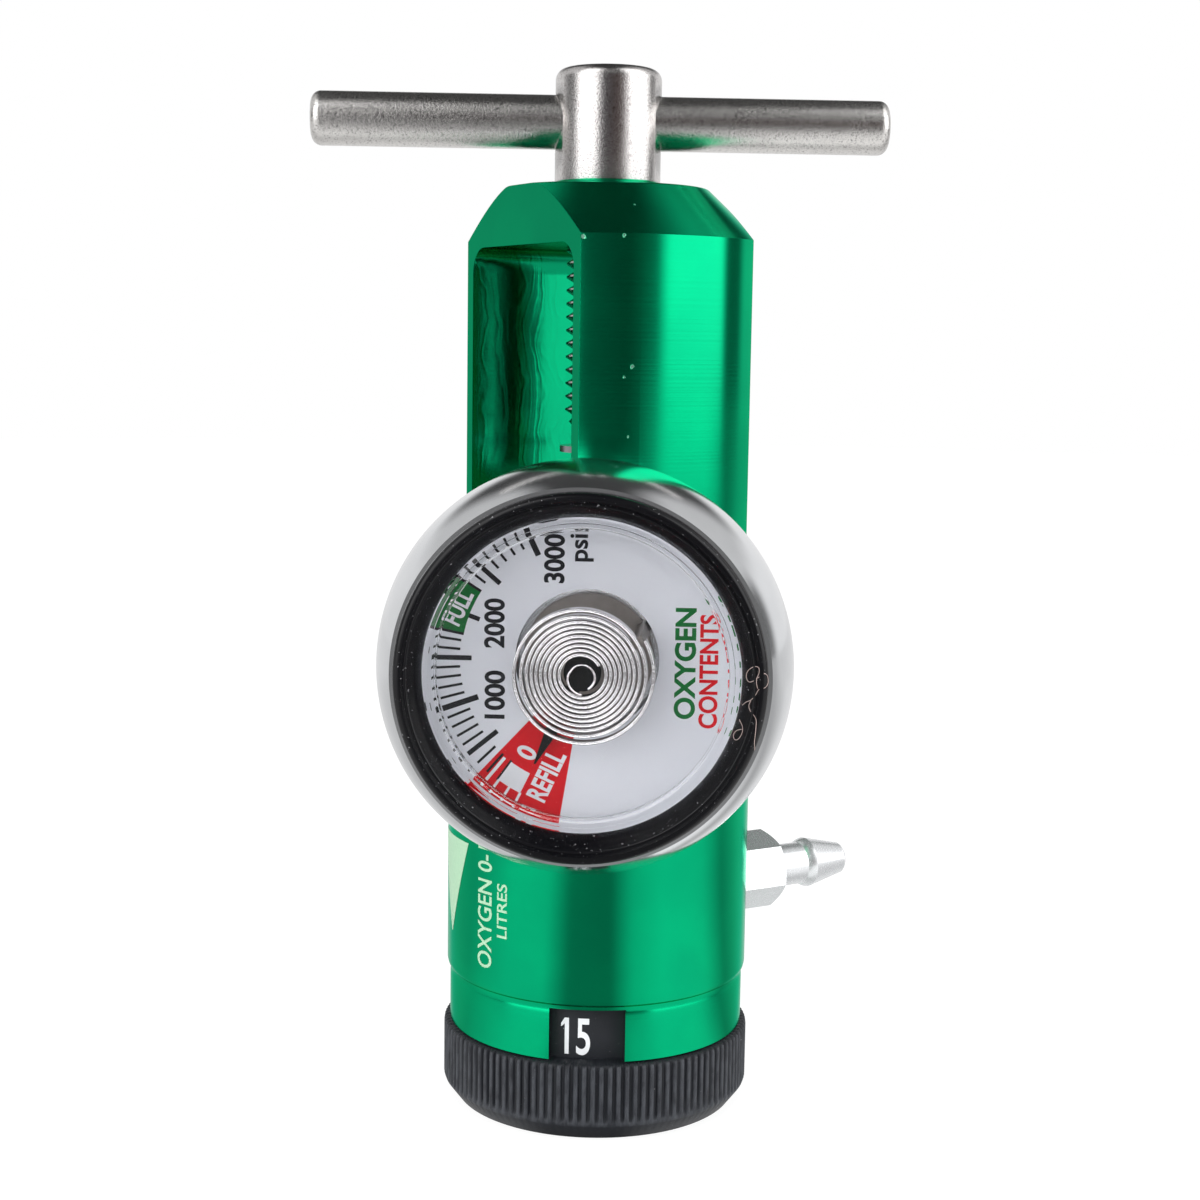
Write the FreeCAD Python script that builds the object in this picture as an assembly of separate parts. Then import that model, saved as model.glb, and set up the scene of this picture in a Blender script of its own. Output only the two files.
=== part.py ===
import FreeCAD, Part
import math
import os

# Pin index oxygen regulator. Millimetres, +Z up, origin at the centre of the knob's underside.
# The yoke opens along Y. Heights are a chain from the knob up to the handle.

# Body
body_radius = 18.7
top_taper_width = 6.6
top_round = 0.8
top_chamfer_height = 6.2
flat_depth = 7.2
window_cheek = 5.5
window_height = 37.7
window_corner = 3.0
mouth_chamfer = 0.35
yoke_top_thickness = 7.0
cutter_margin = 1.0

# Lower rim of the body, with the window for the number
knob_gap = 0.25
rim_step = 0.37
rim_height = 6.65
rim_wall = 1.43
recess_margin = 0.1
notch_width = 9.0
notch_height = 6.25

# Flow selector knob
knob_overhang = 0.37
knob_height = 9.6
knob_chamfer_width = 1.87
knob_chamfer_height = 2.3
rib_count = 116
rib_depth = 0.45
rib_top_share = 0.42
rib_root_share = 0.34
drum_gap = 0.4
drum_wall = 1.9
drum_height = 6.8
knob_floor = 3.4
knob_boss_radius = 5.5
cap_radius = 11.0
cap_thickness = 1.0
screw_web = 0.8
screw_shank_radius = 1.5
screw_head_radius = 2.9
screw_head_height = 1.9
screw_length = 8.0
screw_hex_radius = 1.3
screw_hex_depth = 1.1

# Selector base plug and what it holds
bore_shoulder = 1.3
base_clearance = 0.08
base_setback = 2.0
base_thickness = 12.0
base_ring_radius = 0.7
base_ring_inset = 1.6
port_height = 6.9
metering_inset = 3.0
channel_radius = 1.1
clip_ring_thickness = 0.8
clip_ring_width = 2.0
clip_groove_depth = 0.7
clip_opening_deg = 44.0
clip_lug_radius = 1.5
clip_hole_radius = 0.65
seal_outer_radius = 2.1
seal_height = 1.0
shaft_radius = 3.0
shaft_flat = 2.4
shaft_head_radius = 4.5
shaft_head_height = 1.2
shaft_ring_radius = 0.6
shaft_ring_height = 3.6
plate_gap = 0.53
plate_thickness = 2.0
positions = 12
smallest_orifice = 0.2
orifice_step = 0.06
running_gap = 0.1

# Detent
detent_inset = 4.6
detent_ring_width = 2.8
detent_gap = 0.4
ball_radius = 1.2
dimple_seat_depth = 0.35
dimple_clearance = 0.05
dimple_angle_deg = 120.0
detent_pocket_depth = 6.0
detent_wire_radius = 0.2
detent_turns = 4
wire_sides = 8

# Piston and its spring
chamber_shoulder = 2.6
chamber_height = 18.4
piston_clearance = 0.07
piston_rest_gap = 0.1
skirt_wall = 1.4
skirt_height = 5.3
piston_head_height = 4.6
piston_ring_radius = 0.75
stem_radius = 3.5
stem_bore_length = 6.0
stem_passage_radius = 1.0
cross_hole_radius = 0.45
cross_hole_drop = 1.5
stem_ring_radius = 0.65
stem_ring_height = 1.3
seat_radius = 2.0
seat_thickness = 0.8
seat_gap = 0.9
spring_radius = 7.0
spring_wire_width = 2.2
spring_wire_height = 1.2
spring_turns = 4.0
vent_radius = 0.8
vent_drop = 4.0

# Nozzle, inlet and index pins
nozzle_radius = 2.6
nozzle_length = 2.8
nozzle_lip_drop = 0.4
nozzle_lip_radius = 1.1
nozzle_edge = 0.2
nozzle_bore_radius = 0.7
gallery_radius = 3.0
gallery_height = 3.2
gauge_port_height = 1.5
gauge_passage_radius = 1.25
inlet_thread_radius = 4.6
inlet_bore_depth = 6.5
filter_thickness = 1.5
nipple_radius = 3.2
nipple_height = 4.0
nipple_bore_radius = 1.1
nipple_slot_width = 1.0
nipple_slot_depth = 0.9
washer_radius = 7.75
washer_hole_clearance = 0.2
washer_thickness = 2.4
pin_circle_radius = 14.3
pin_angle_deg = 18.0
pin_radius = 1.98
pin_height = 6.0
pin_depth = 5.0
pin_shank_radius = 1.6
pin_tip_chamfer = 0.6

# Pressure gauge, turned away from the yoke's open face
gauge_angle_deg = 58.0
gauge_thread_radius = 4.8
gauge_thread_length = 8.4
gauge_neck_length = 0.7
gauge_hex = 11.0
gauge_hex_length = 4.5
gauge_spigot_radius = 4.2
case_back_widening = 0.1
case_back_round = 3.0
case_wall = 1.0
case_bulge = 2.5
case_wide_depth = 9.0
case_depth = 16.6
case_front_radius = 19.9
dial_bed_depth = 3.6
case_lip = 1.3
dial_ledge = 1.8
dial_thickness = 0.4
dial_hole_radius = 7.65
stem_flange_radius = 6.9
stem_flange_thickness = 1.0
arbor_radius = 0.6
arbor_socket_depth = 2.0
arbor_front_gap = 1.6
arbor_collar_radius = 1.1
pointer_radius = 12.2
pointer_height = 1.6
pointer_thickness = 0.25
pointer_width = 1.5
pointer_tip_width = 0.2
zero_mark_deg = 154.0
coil_inner_radius = 1.9
coil_outer_radius = 7.5
coil_turns = 10
coil_wall = 0.3
coil_width = 1.4
coil_height = 8.2
coil_end_deg = -60.0
post_size = 1.1
lens_front_gap = 1.8
lens_thickness = 1.4
lens_edge_round = 1.4
lens_flange_width = 1.6
lens_flange_gap = 0.3
lens_flange_thickness = 1.2
lens_wall = 1.7
lens_shoulder = 0.8
bezel_depth = 1.4
bezel_inset = 0.45
bezel_edge = 0.95
bezel_ridge_inset = 1.7
bezel_ridge_drop = 0.6
bezel_inner_drop = 2.5
bezel_round = 0.3
loose_fit = 0.1

# Hose barb
barb_thread_radius = 4.0
barb_hex = 8.7
barb_hex_length = 7.3
barb_hex_chamfer = 0.6
barb_hex_turn_deg = 16.0
barb_shank_radius = 2.75
barb_shank_length = 4.5
barb_flare_length = 1.1
barb_flare_bulge = 0.1
barb_crest_radius = 3.25
barb_cone_length = 5.5
barb_tip_radius = 2.1
barb_tip_round = 0.5
barb_bore_radius = 1.1
spigot_radius = 2.45
spigot_length = 7.0
spigot_ring_radius = 0.45
spigot_ring_setback = 1.6

# Yoke screw and its handle
hub_gap = 0.3
hub_radius = 6.35
hub_height = 13.7
hub_round = 1.4
hub_foot_round = 0.5
thread_radius = 4.7625
thread_length = 28.6
neck_radius = 3.95
neck_length = 7.4
tip_radius = 2.6
tip_taper = 1.6
screw_clip_setback = 2.5
screw_clip_thickness = 0.75
screw_clip_radius = 5.35
screw_clip_groove_depth = 0.75
screw_clip_opening = 5.0
bar_radius = 3.2
bar_length = 69.0
bar_offset = -0.87
bar_round = 1.2
bar_height = 7.4
bar_angle_deg = 63.1
running_fit = 0.05
press_fit = 0.01

# Radii worked out from the sizes above, from the body's skin inwards
rim_radius = body_radius - rim_step
recess_radius = rim_radius - rim_wall
bore_radius = recess_radius - bore_shoulder
chamber_radius = bore_radius - chamber_shoulder
flat_distance = body_radius - flat_depth
window_width = 2 * (body_radius - window_cheek)
top_radius = body_radius - top_taper_width
knob_radius = body_radius + knob_overhang
knob_foot_radius = knob_radius - knob_chamfer_width
drum_radius = recess_radius - drum_gap
detent_radius = bore_radius - detent_inset
plate_radius = chamber_radius - piston_clearance - skirt_wall - plate_gap
metering_radius = plate_radius - metering_inset
case_back_radius = case_front_radius + case_back_widening
case_wide_radius = case_front_radius + case_bulge
case_bore_radius = case_front_radius - case_lip
dial_bed_radius = case_bore_radius - dial_ledge
lens_flange_radius = case_bore_radius - lens_flange_gap
lens_radius = lens_flange_radius - lens_flange_width
lens_flat_radius = lens_radius - lens_edge_round
bezel_front_radius = case_front_radius - bezel_edge
bezel_ridge_radius = case_front_radius - bezel_ridge_inset

# Heights worked out from the sizes above, from the bottom up
rim_bottom = knob_height + knob_gap
rim_top = rim_bottom + rim_height
recess_top = rim_top + recess_margin
base_bottom = recess_top + base_setback
base_top = base_bottom + base_thickness
port_z = base_bottom + port_height
chamber_top = base_top + chamber_height
stem_bore_top = chamber_top + stem_bore_length
gallery_bottom = stem_bore_top + nozzle_length
gauge_z = gallery_bottom + gauge_port_height
gallery_top = gallery_bottom + gallery_height
floor_z = gallery_top + inlet_bore_depth
ceiling_z = floor_z + window_height
body_top = ceiling_z + yoke_top_thickness
hub_bottom = body_top + hub_gap
thread_bottom = hub_bottom - thread_length
screw_tip = thread_bottom - neck_length
screw_clip_top = thread_bottom - screw_clip_setback
detent_top = base_bottom - detent_gap
seat_top = stem_bore_top - nozzle_lip_drop - seat_gap
stem_top = seat_top
piston_low = base_top + piston_rest_gap
piston_crown = piston_low + skirt_height
piston_back = piston_crown + piston_head_height
plate_low = base_top + running_gap
plate_top = plate_low + plate_thickness
shaft_top = plate_top + running_gap + shaft_head_height
shaft_low = cap_thickness + screw_head_height + running_gap + screw_web + running_gap

# Distances in front of the body's axis along the gauge, from the body outwards
gauge_hex_start = body_radius + gauge_neck_length
case_back = gauge_hex_start + gauge_hex_length
case_inside = case_back + case_wall
dial_front = case_back + dial_bed_depth + dial_thickness
case_front = case_back + case_depth
bezel_front = case_front + bezel_depth
coil_back = dial_front + coil_height
coil_front = coil_back + coil_width
lens_front = coil_front + lens_front_gap
lens_inside = lens_front - lens_thickness
lens_step = lens_inside - lens_shoulder + lens_flange_thickness / 2
lens_back = lens_step - lens_flange_thickness

UP = FreeCAD.Vector(0, 0, 1)
CENTRE = FreeCAD.Vector(0, 0, 0)


def compass(angle_deg):
    """Level direction, turned from the yoke's open face (-Y) towards +X."""
    angle = math.radians(angle_deg)
    return FreeCAD.Vector(math.sin(angle), -math.cos(angle), 0)


gauge_direction = compass(gauge_angle_deg)
outlet_direction = FreeCAD.Vector(0, 1, 0)
detent_centre = FreeCAD.Vector(-detent_radius, 0, 0)


def outward(shape, direction, height):
    """Turns a piece that was built along +Z to point level out of the body; its +X becomes up."""
    side = direction.cross(UP)
    turn = FreeCAD.Placement(UP * height, FreeCAD.Rotation(UP, side, direction, "ZXY"))
    placed = shape.copy()
    placed.Placement = turn * shape.Placement
    return placed


def cylinder(radius, low, high, centre=CENTRE):
    return Part.makeCylinder(radius, high - low, centre + UP * low)


def ring(outer, inner, low, high, centre=CENTRE):
    return cylinder(outer, low, high, centre).cut(cylinder(inner, low, high, centre))


def turned(outline):
    """Solid turned about Z. The outline holds (radius, height) points, and an arc
    is written as ("arc", middle point, end point)."""
    edges = []
    here = outline[0]
    for step in outline[1:] + [outline[0]]:
        start = FreeCAD.Vector(here[0], 0, here[1])
        if step[0] == "arc":
            middle = FreeCAD.Vector(step[1][0], 0, step[1][1])
            here = step[2]
            edges.append(Part.Arc(start, middle, FreeCAD.Vector(here[0], 0, here[1])).toShape())
        else:
            here = step
            edges.append(Part.makeLine(start, FreeCAD.Vector(here[0], 0, here[1])))
    return Part.Face(Part.Wire(edges)).revolve(CENTRE, UP, 360)


def corner_arc(centre, radius, from_deg, to_deg):
    """Arc entry for an outline, round a centre in (radius, height)."""
    points = []
    for angle_deg in ((from_deg + to_deg) / 2, to_deg):
        angle = math.radians(angle_deg)
        points.append((centre[0] + radius * math.cos(angle), centre[1] + radius * math.sin(angle)))
    return ("arc", points[0], points[1])


def hexagon(across_flats, low, high):
    """Hexagonal prism with a corner on its +X side."""
    corner_radius = across_flats / math.sqrt(3)
    points = []
    for corner in range(7):
        angle = math.radians(60 * corner)
        points.append(FreeCAD.Vector(corner_radius * math.cos(angle), corner_radius * math.sin(angle), low))
    return Part.Face(Part.makePolygon(points)).extrude(UP * (high - low))


def d_bar(radius, flat, low, high):
    """Round bar with one flat on its +X side."""
    bar = cylinder(radius, low, high)
    waste = Part.makeBox(radius, 2 * radius, high - low, FreeCAD.Vector(flat, -radius, low))
    return bar.cut(waste)


def wire_section(radius, sides=wire_sides):
    """Corners of an even-sided polygon as large as a round section, with flats to every side."""
    corners = []
    for corner in range(sides):
        angle = 2 * math.pi * (corner + 0.5) / sides
        corners.append((radius * math.cos(angle), radius * math.sin(angle)))
    return corners


def o_ring(ring_radius, section_radius, height):
    """Seal ring, its section drawn with flats where it is squeezed in its groove."""
    return turned([(ring_radius + x, height + z) for x, z in wire_section(section_radius)])


def groove(outer, inner, section_radius, height):
    """Square groove for an o-ring, a little wider than its section."""
    half = section_radius + loose_fit
    return ring(outer, inner, height - half, height + half)


def coil_spring(radius, corners, turns, low, high):
    """Open coil spring between two heights. The corners are its wire's section, (across, up)."""
    half = max(up for across, up in corners)
    rise = high - low - 2 * half
    path = Part.makeHelix(rise / turns, rise, radius)
    points = [FreeCAD.Vector(radius + across, 0, up) for across, up in corners]
    section = Part.makePolygon(points + [points[0]])
    spring = Part.Wire(path).makePipeShell([section], True, True)
    spring.translate(UP * (low + half))
    return spring


# Body: one turned bar with two milled flats and the yoke window through them

def body_blank():
    round_centre = (top_radius - top_round, body_top - top_round)
    chamfer_low = body_top - top_chamfer_height
    slope = math.degrees(math.atan2(body_radius - top_radius, top_chamfer_height))
    blank = turned([
        (0, rim_bottom), (rim_radius, rim_bottom), (rim_radius, rim_top), (body_radius, rim_top),
        (body_radius, chamfer_low),
        (round_centre[0] + top_round * math.cos(math.radians(90 - slope)),
         round_centre[1] + top_round * math.sin(math.radians(90 - slope))),
        corner_arc(round_centre, top_round, 90 - slope, 90),
        (0, body_top)])
    for side in (-1, 1):
        near = flat_distance if side > 0 else -body_radius - cutter_margin
        waste = Part.makeBox(2 * body_radius, flat_depth + cutter_margin, body_top - floor_z,
                             FreeCAD.Vector(-body_radius, near, floor_z))
        blank = blank.cut(waste)
    return blank


def window_cutter():
    """The window's prism. Its side faces meet the floor and the ceiling in milled corners."""
    deep = 2 * body_radius
    prism = Part.makeBox(window_width, deep, window_height,
                         FreeCAD.Vector(-window_width / 2, -body_radius, floor_z))
    corners = [edge for edge in prism.Edges
               if abs(edge.Vertexes[0].Y - edge.Vertexes[1].Y) > body_radius]
    prism = prism.makeFillet(window_corner, corners)
    return prism


def mouth_cutter(side):
    """Tapered frame that breaks the window's edge on one flat."""
    wires = []
    for depth, grow in ((0, mouth_chamfer), (mouth_chamfer, 0)):
        width = window_width + 2 * grow
        corner = window_corner + grow
        low = floor_z
        high = ceiling_z + grow
        y = side * (flat_distance - depth)
        half = width / 2
        lower = [FreeCAD.Vector(-half, y, high - corner), FreeCAD.Vector(-half, y, low),
                 FreeCAD.Vector(half, y, low), FreeCAD.Vector(half, y, high - corner)]
        edges = [Part.makeLine(lower[n], lower[n + 1]) for n in range(3)]
        bend = corner * (1 - math.sqrt(0.5))
        right = FreeCAD.Vector(half - corner, y, high)
        left = FreeCAD.Vector(corner - half, y, high)
        edges.append(Part.Arc(lower[3], FreeCAD.Vector(half - bend, y, high - bend), right).toShape())
        edges.append(Part.makeLine(right, left))
        edges.append(Part.Arc(left, FreeCAD.Vector(bend - half, y, high - bend), lower[0]).toShape())
        wires.append(Part.Wire(edges))
    return Part.makeLoft(wires, True, True)


def pin_places():
    places = []
    for side in (-1, 1):
        angle = math.radians(side * pin_angle_deg)
        places.append(FreeCAD.Vector(pin_circle_radius * math.sin(angle), pin_circle_radius * math.cos(angle), 0))
    return places


def gauge_port():
    """Threaded port and passage, built along +Z from the body's axis."""
    port = cylinder(gauge_thread_radius + running_fit,
                    body_radius - gauge_thread_length - loose_fit, body_radius + cutter_margin)
    return port.fuse(cylinder(gauge_passage_radius, 0, body_radius))


def body():
    solid = body_blank().cut(window_cutter())
    for side in (-1, 1):
        solid = solid.cut(mouth_cutter(side))
    cavities = [
        cylinder(recess_radius, rim_bottom - cutter_margin, recess_top),
        cylinder(bore_radius, rim_bottom, base_top),
        cylinder(chamber_radius, rim_bottom, chamber_top),
        cylinder(stem_radius + running_fit, rim_bottom, stem_bore_top),
        cylinder(nozzle_radius + press_fit, rim_bottom, gallery_bottom),
        cylinder(gallery_radius, gallery_bottom, gallery_top),
        cylinder(inlet_thread_radius + running_fit, gallery_top, floor_z + cutter_margin),
        cylinder(bore_radius + clip_groove_depth, base_bottom - clip_ring_thickness - running_fit, base_bottom),
        groove(stem_radius + 2 * stem_ring_radius + loose_fit, stem_radius, stem_ring_radius,
               chamber_top + stem_ring_height),
        cylinder(thread_radius + running_fit, ceiling_z - cutter_margin, body_top + cutter_margin),
        outward(gauge_port(), gauge_direction, gauge_z),
        outward(cylinder(barb_thread_radius + running_fit, 0, body_radius + cutter_margin),
                outlet_direction, port_z),
        outward(cylinder(vent_radius, 0, body_radius + cutter_margin),
                gauge_direction * -1, chamber_top - vent_drop),
        outward(number_notch(), gauge_direction, 0)]
    for place in pin_places():
        cavities.append(cylinder(pin_shank_radius + press_fit, floor_z - pin_depth,
                                 floor_z + cutter_margin, place))
    for cavity in cavities:
        solid = solid.cut(cavity)
    return solid


def number_notch():
    """Box through the rim's wall, built with +X up and +Z outwards."""
    depth = body_radius - recess_radius + 2 * cutter_margin
    return Part.makeBox(notch_height + cutter_margin, notch_width, depth,
                        FreeCAD.Vector(rim_bottom - cutter_margin, -notch_width / 2,
                                       recess_radius - cutter_margin))


# Inlet in the yoke's floor

def index_pins():
    """Two shouldered pins, each with a thinner shank driven into the ledge."""
    pins = []
    for place in pin_places():
        pin = turned([(0, floor_z - pin_depth), (pin_shank_radius, floor_z - pin_depth),
                      (pin_shank_radius, floor_z), (pin_radius, floor_z),
                      (pin_radius, floor_z + pin_height - pin_tip_chamfer),
                      (pin_radius - pin_tip_chamfer, floor_z + pin_height), (0, floor_z + pin_height)])
        pin.translate(place)
        pins.append(pin)
    return Part.makeCompound(pins)


def inlet_nipple():
    low = gallery_top + filter_thickness
    top = floor_z + nipple_height
    solid = turned([(0, low), (inlet_thread_radius, low), (inlet_thread_radius, floor_z),
                    (nipple_radius, floor_z), (nipple_radius, top - pin_tip_chamfer),
                    (nipple_radius - pin_tip_chamfer, top), (0, top)])
    slot = Part.makeBox(2 * nipple_radius, nipple_slot_width, nipple_slot_depth,
                        FreeCAD.Vector(-nipple_radius, -nipple_slot_width / 2, top - nipple_slot_depth))
    return solid.cut(cylinder(nipple_bore_radius, low, top)).cut(slot)


def inlet_filter():
    return cylinder(inlet_thread_radius - loose_fit, gallery_top, gallery_top + filter_thickness)


def inlet_washer():
    hole = nipple_radius + washer_hole_clearance
    top = floor_z + washer_thickness
    bulge = washer_thickness / 4
    return turned([(hole, floor_z), (washer_radius - bulge, floor_z),
                   ("arc", (washer_radius, (floor_z + top) / 2), (washer_radius - bulge, top)), (hole, top)])


def nozzle():
    lip = stem_bore_top - nozzle_lip_drop
    return turned([(nozzle_bore_radius, lip), (nozzle_lip_radius, lip),
                   (nozzle_radius - nozzle_edge, stem_bore_top), (nozzle_radius, stem_bore_top),
                   (nozzle_radius, gallery_bottom), (nozzle_bore_radius, gallery_bottom)])


# Piston with its seat, seals and spring

def piston():
    outer = chamber_radius - piston_clearance
    inner = outer - skirt_wall
    solid = turned([(inner, piston_low), (outer, piston_low), (outer, piston_back), (stem_radius, piston_back),
                    (stem_radius, stem_top), (seat_radius + press_fit, stem_top),
                    (seat_radius + press_fit, stem_top - seat_thickness), (0, stem_top - seat_thickness),
                    (0, piston_crown), (inner, piston_crown)])
    ring_height = (piston_crown + piston_back) / 2
    solid = solid.cut(groove(outer + cutter_margin, chamber_radius - 2 * piston_ring_radius - loose_fit,
                             piston_ring_radius, ring_height))
    cross_z = stem_top - cross_hole_drop
    solid = solid.cut(cylinder(stem_passage_radius, piston_low, cross_z + cross_hole_radius))
    cross = Part.makeCylinder(cross_hole_radius, 2 * stem_radius,
                              FreeCAD.Vector(-stem_radius, 0, cross_z), FreeCAD.Vector(1, 0, 0))
    return solid.cut(cross)


def piston_oring():
    return o_ring(chamber_radius - piston_ring_radius - running_fit, piston_ring_radius,
                  (piston_crown + piston_back) / 2)


def piston_seat():
    return cylinder(seat_radius, seat_top - seat_thickness, seat_top)


def stem_oring():
    return o_ring(stem_radius + stem_ring_radius + running_fit, stem_ring_radius, chamber_top + stem_ring_height)


def piston_spring():
    """Stiff spring wound from rectangular wire."""
    across = spring_wire_width / 2
    up = spring_wire_height / 2
    corners = [(-across, -up), (across, -up), (across, up), (-across, up)]
    return coil_spring(spring_radius, corners, spring_turns,
                       piston_back + running_gap, chamber_top - running_gap)


# Flow selector: base plug, orifice plate, shaft, knob and detent

def base_ring_heights():
    return (base_bottom + base_ring_inset, base_top - base_ring_inset)


def selector_base():
    outer = bore_radius - base_clearance
    solid = cylinder(outer, base_bottom, base_top)
    solid = solid.cut(cylinder(shaft_radius + running_fit, base_bottom, base_top))
    for height in base_ring_heights():
        solid = solid.cut(groove(outer + cutter_margin, bore_radius - 2 * base_ring_radius - loose_fit,
                                 base_ring_radius, height))
    solid = solid.cut(groove(shaft_radius + 2 * shaft_ring_radius + loose_fit, shaft_radius,
                             shaft_ring_radius, base_bottom + shaft_ring_height))
    outlet = outlet_direction * metering_radius
    solid = solid.cut(cylinder(channel_radius, port_z, base_top, outlet))
    solid = solid.cut(cylinder(seal_outer_radius + running_fit, base_top - seal_height, base_top, outlet))
    solid = solid.cut(outward(cylinder(channel_radius, metering_radius, bore_radius), outlet_direction, port_z))
    spigot_hole = cylinder(spigot_radius + loose_fit, body_radius - spigot_length - loose_fit,
                           bore_radius + cutter_margin)
    solid = solid.cut(outward(spigot_hole, outlet_direction, port_z))
    pocket = cylinder(ball_radius + running_fit, base_bottom, base_bottom + detent_pocket_depth, detent_centre)
    return solid.cut(pocket)


def base_orings():
    rings = []
    for height in base_ring_heights():
        rings.append(o_ring(bore_radius - base_ring_radius - running_fit, base_ring_radius, height))
    return Part.makeCompound(rings)


def base_clip():
    """Internal retaining ring with two lugs, sprung into the groove under the base plug."""
    low = base_bottom - clip_ring_thickness
    outer = bore_radius + clip_groove_depth - running_fit
    inner = bore_radius - clip_ring_width
    solid = ring(outer, inner, low, base_bottom)
    half = math.radians(clip_opening_deg / 2)
    reach = 2 * outer
    mouth = Part.Face(Part.makePolygon([
        FreeCAD.Vector(0, 0, low), FreeCAD.Vector(reach * math.cos(half), -reach * math.sin(half), low),
        FreeCAD.Vector(reach * math.cos(half), reach * math.sin(half), low), FreeCAD.Vector(0, 0, low)]))
    solid = solid.cut(mouth.extrude(UP * clip_ring_thickness))
    lug_circle = inner + clip_lug_radius / 2
    for side in (-1, 1):
        angle = side * (half + clip_lug_radius / lug_circle)
        place = FreeCAD.Vector(lug_circle * math.cos(angle), lug_circle * math.sin(angle), 0)
        solid = solid.fuse(cylinder(clip_lug_radius, low, base_bottom, place))
        solid = solid.cut(cylinder(clip_hole_radius, low, base_bottom, place))
    return solid.removeSplitter()


def port_seal():
    return ring(seal_outer_radius, channel_radius, base_top - seal_height, base_top + running_gap / 2,
                outlet_direction * metering_radius)


def orifice_plate():
    """Plate with one orifice for each flow, the largest over the outlet at rest and a blank place after it."""
    solid = cylinder(plate_radius, plate_low, plate_top)
    solid = solid.cut(d_bar(shaft_radius + running_fit, shaft_flat + running_fit, plate_low, plate_top))
    for position in range(1, positions):
        angle = math.radians(90 - 360 * (position + 1) / positions)
        place = FreeCAD.Vector(metering_radius * math.cos(angle), metering_radius * math.sin(angle), 0)
        solid = solid.cut(cylinder(smallest_orifice + orifice_step * position, plate_low, plate_top, place))
    return solid


def selector_shaft():
    """Shaft with a head above the orifice plate and a driving flat in the plate and the knob."""
    solid = d_bar(shaft_radius, shaft_flat, shaft_low, detent_top)
    solid = solid.fuse(cylinder(shaft_radius, detent_top, plate_low - running_gap))
    solid = solid.fuse(d_bar(shaft_radius, shaft_flat, plate_low - running_gap, plate_top + running_gap))
    solid = solid.fuse(cylinder(shaft_head_radius, plate_top + running_gap, shaft_top))
    return solid.cut(cylinder(screw_shank_radius + press_fit, shaft_low, screw_reach() + cutter_margin))


def screw_reach():
    return cap_thickness + running_gap + screw_head_height + screw_length


def shaft_oring():
    return o_ring(shaft_radius + shaft_ring_radius + running_fit, shaft_ring_radius,
                  base_bottom + shaft_ring_height)


def knob_ribs():
    """Ring of straight ribs round the grip."""
    pitch = 2 * math.pi / rib_count
    root_radius = knob_radius - rib_depth
    flank = (1 - rib_top_share - rib_root_share) / 2
    points = []
    for rib in range(rib_count):
        start = rib * pitch
        for radius, share in ((knob_radius, 0), (knob_radius, rib_top_share),
                              (root_radius, rib_top_share + flank),
                              (root_radius, rib_top_share + flank + rib_root_share)):
            angle = start + share * pitch
            points.append(FreeCAD.Vector(radius * math.cos(angle), radius * math.sin(angle),
                                         knob_chamfer_height))
    points.append(points[0])
    prism = Part.Face(Part.makePolygon(points)).extrude(UP * (knob_height - knob_chamfer_height))
    return prism.cut(cylinder(drum_radius, knob_chamfer_height, knob_height))


def knob():
    """Moulded knob: ribbed skirt, number drum, detent ring and a centre boss."""
    drum_inner = drum_radius - drum_wall
    drum_top = knob_height + drum_height
    skirt_core = (drum_radius + knob_radius - rib_depth) / 2
    web_top = knob_floor
    ring_inner = detent_radius - detent_ring_width / 2
    ring_outer = detent_radius + detent_ring_width / 2
    cap_hole = cap_radius + running_fit
    solid = turned([
        (0, cap_thickness), (cap_hole, cap_thickness), (cap_hole, 0), (knob_foot_radius, 0),
        (knob_radius, knob_chamfer_height), (skirt_core, knob_chamfer_height), (skirt_core, knob_height),
        (drum_radius, knob_height), (drum_radius, drum_top), (drum_inner, drum_top), (drum_inner, web_top),
        (ring_outer, web_top), (ring_outer, detent_top), (ring_inner, detent_top), (ring_inner, web_top),
        (knob_boss_radius, web_top), (knob_boss_radius, detent_top), (0, detent_top)])
    solid = solid.fuse(knob_ribs())
    head_top = cap_thickness + running_gap + screw_head_height
    solid = solid.cut(cylinder(screw_head_radius + loose_fit, cap_thickness, head_top))
    solid = solid.cut(cylinder(screw_shank_radius + loose_fit, cap_thickness, detent_top))
    solid = solid.cut(d_bar(shaft_radius + running_fit, shaft_flat + running_fit,
                            head_top + screw_web, detent_top))
    half_angle = math.radians(dimple_angle_deg / 2)
    depth = dimple_depth()
    for position in range(positions):
        angle = math.radians(360 * position / positions)
        place = FreeCAD.Vector(-detent_radius * math.cos(angle), -detent_radius * math.sin(angle),
                               detent_top - depth)
        solid = solid.cut(Part.makeCone(0, depth * math.tan(half_angle), depth, place))
    return solid


def dimple_depth():
    """Depth of a drilled cone that the ball nearly touches all round when it is seated."""
    half_angle = math.radians(dimple_angle_deg / 2)
    return (ball_radius + dimple_clearance) / math.sin(half_angle) - (ball_height() - detent_top)


def ball_height():
    return detent_top - dimple_seat_depth + ball_radius


def knob_cap():
    return turned([(0, 0), (cap_radius, 0), (cap_radius, cap_thickness), (0, cap_thickness)])


def knob_screw():
    low = cap_thickness + running_gap
    solid = cylinder(screw_head_radius, low, low + screw_head_height)
    solid = solid.fuse(cylinder(screw_shank_radius, low + screw_head_height, screw_reach()))
    return solid.cut(hexagon(2 * screw_hex_radius, low, low + screw_hex_depth))


def detent_ball():
    return Part.makeSphere(ball_radius, detent_centre + UP * ball_height())


def detent_spring():
    spring = coil_spring(ball_radius - 2 * detent_wire_radius, wire_section(detent_wire_radius), detent_turns,
                         ball_height() + ball_radius - detent_wire_radius / 2,
                         base_bottom + detent_pocket_depth - running_gap)
    spring.translate(detent_centre)
    return spring


# Pressure gauge, built along +Z with +X up and +Y towards the dial's zero side

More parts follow.
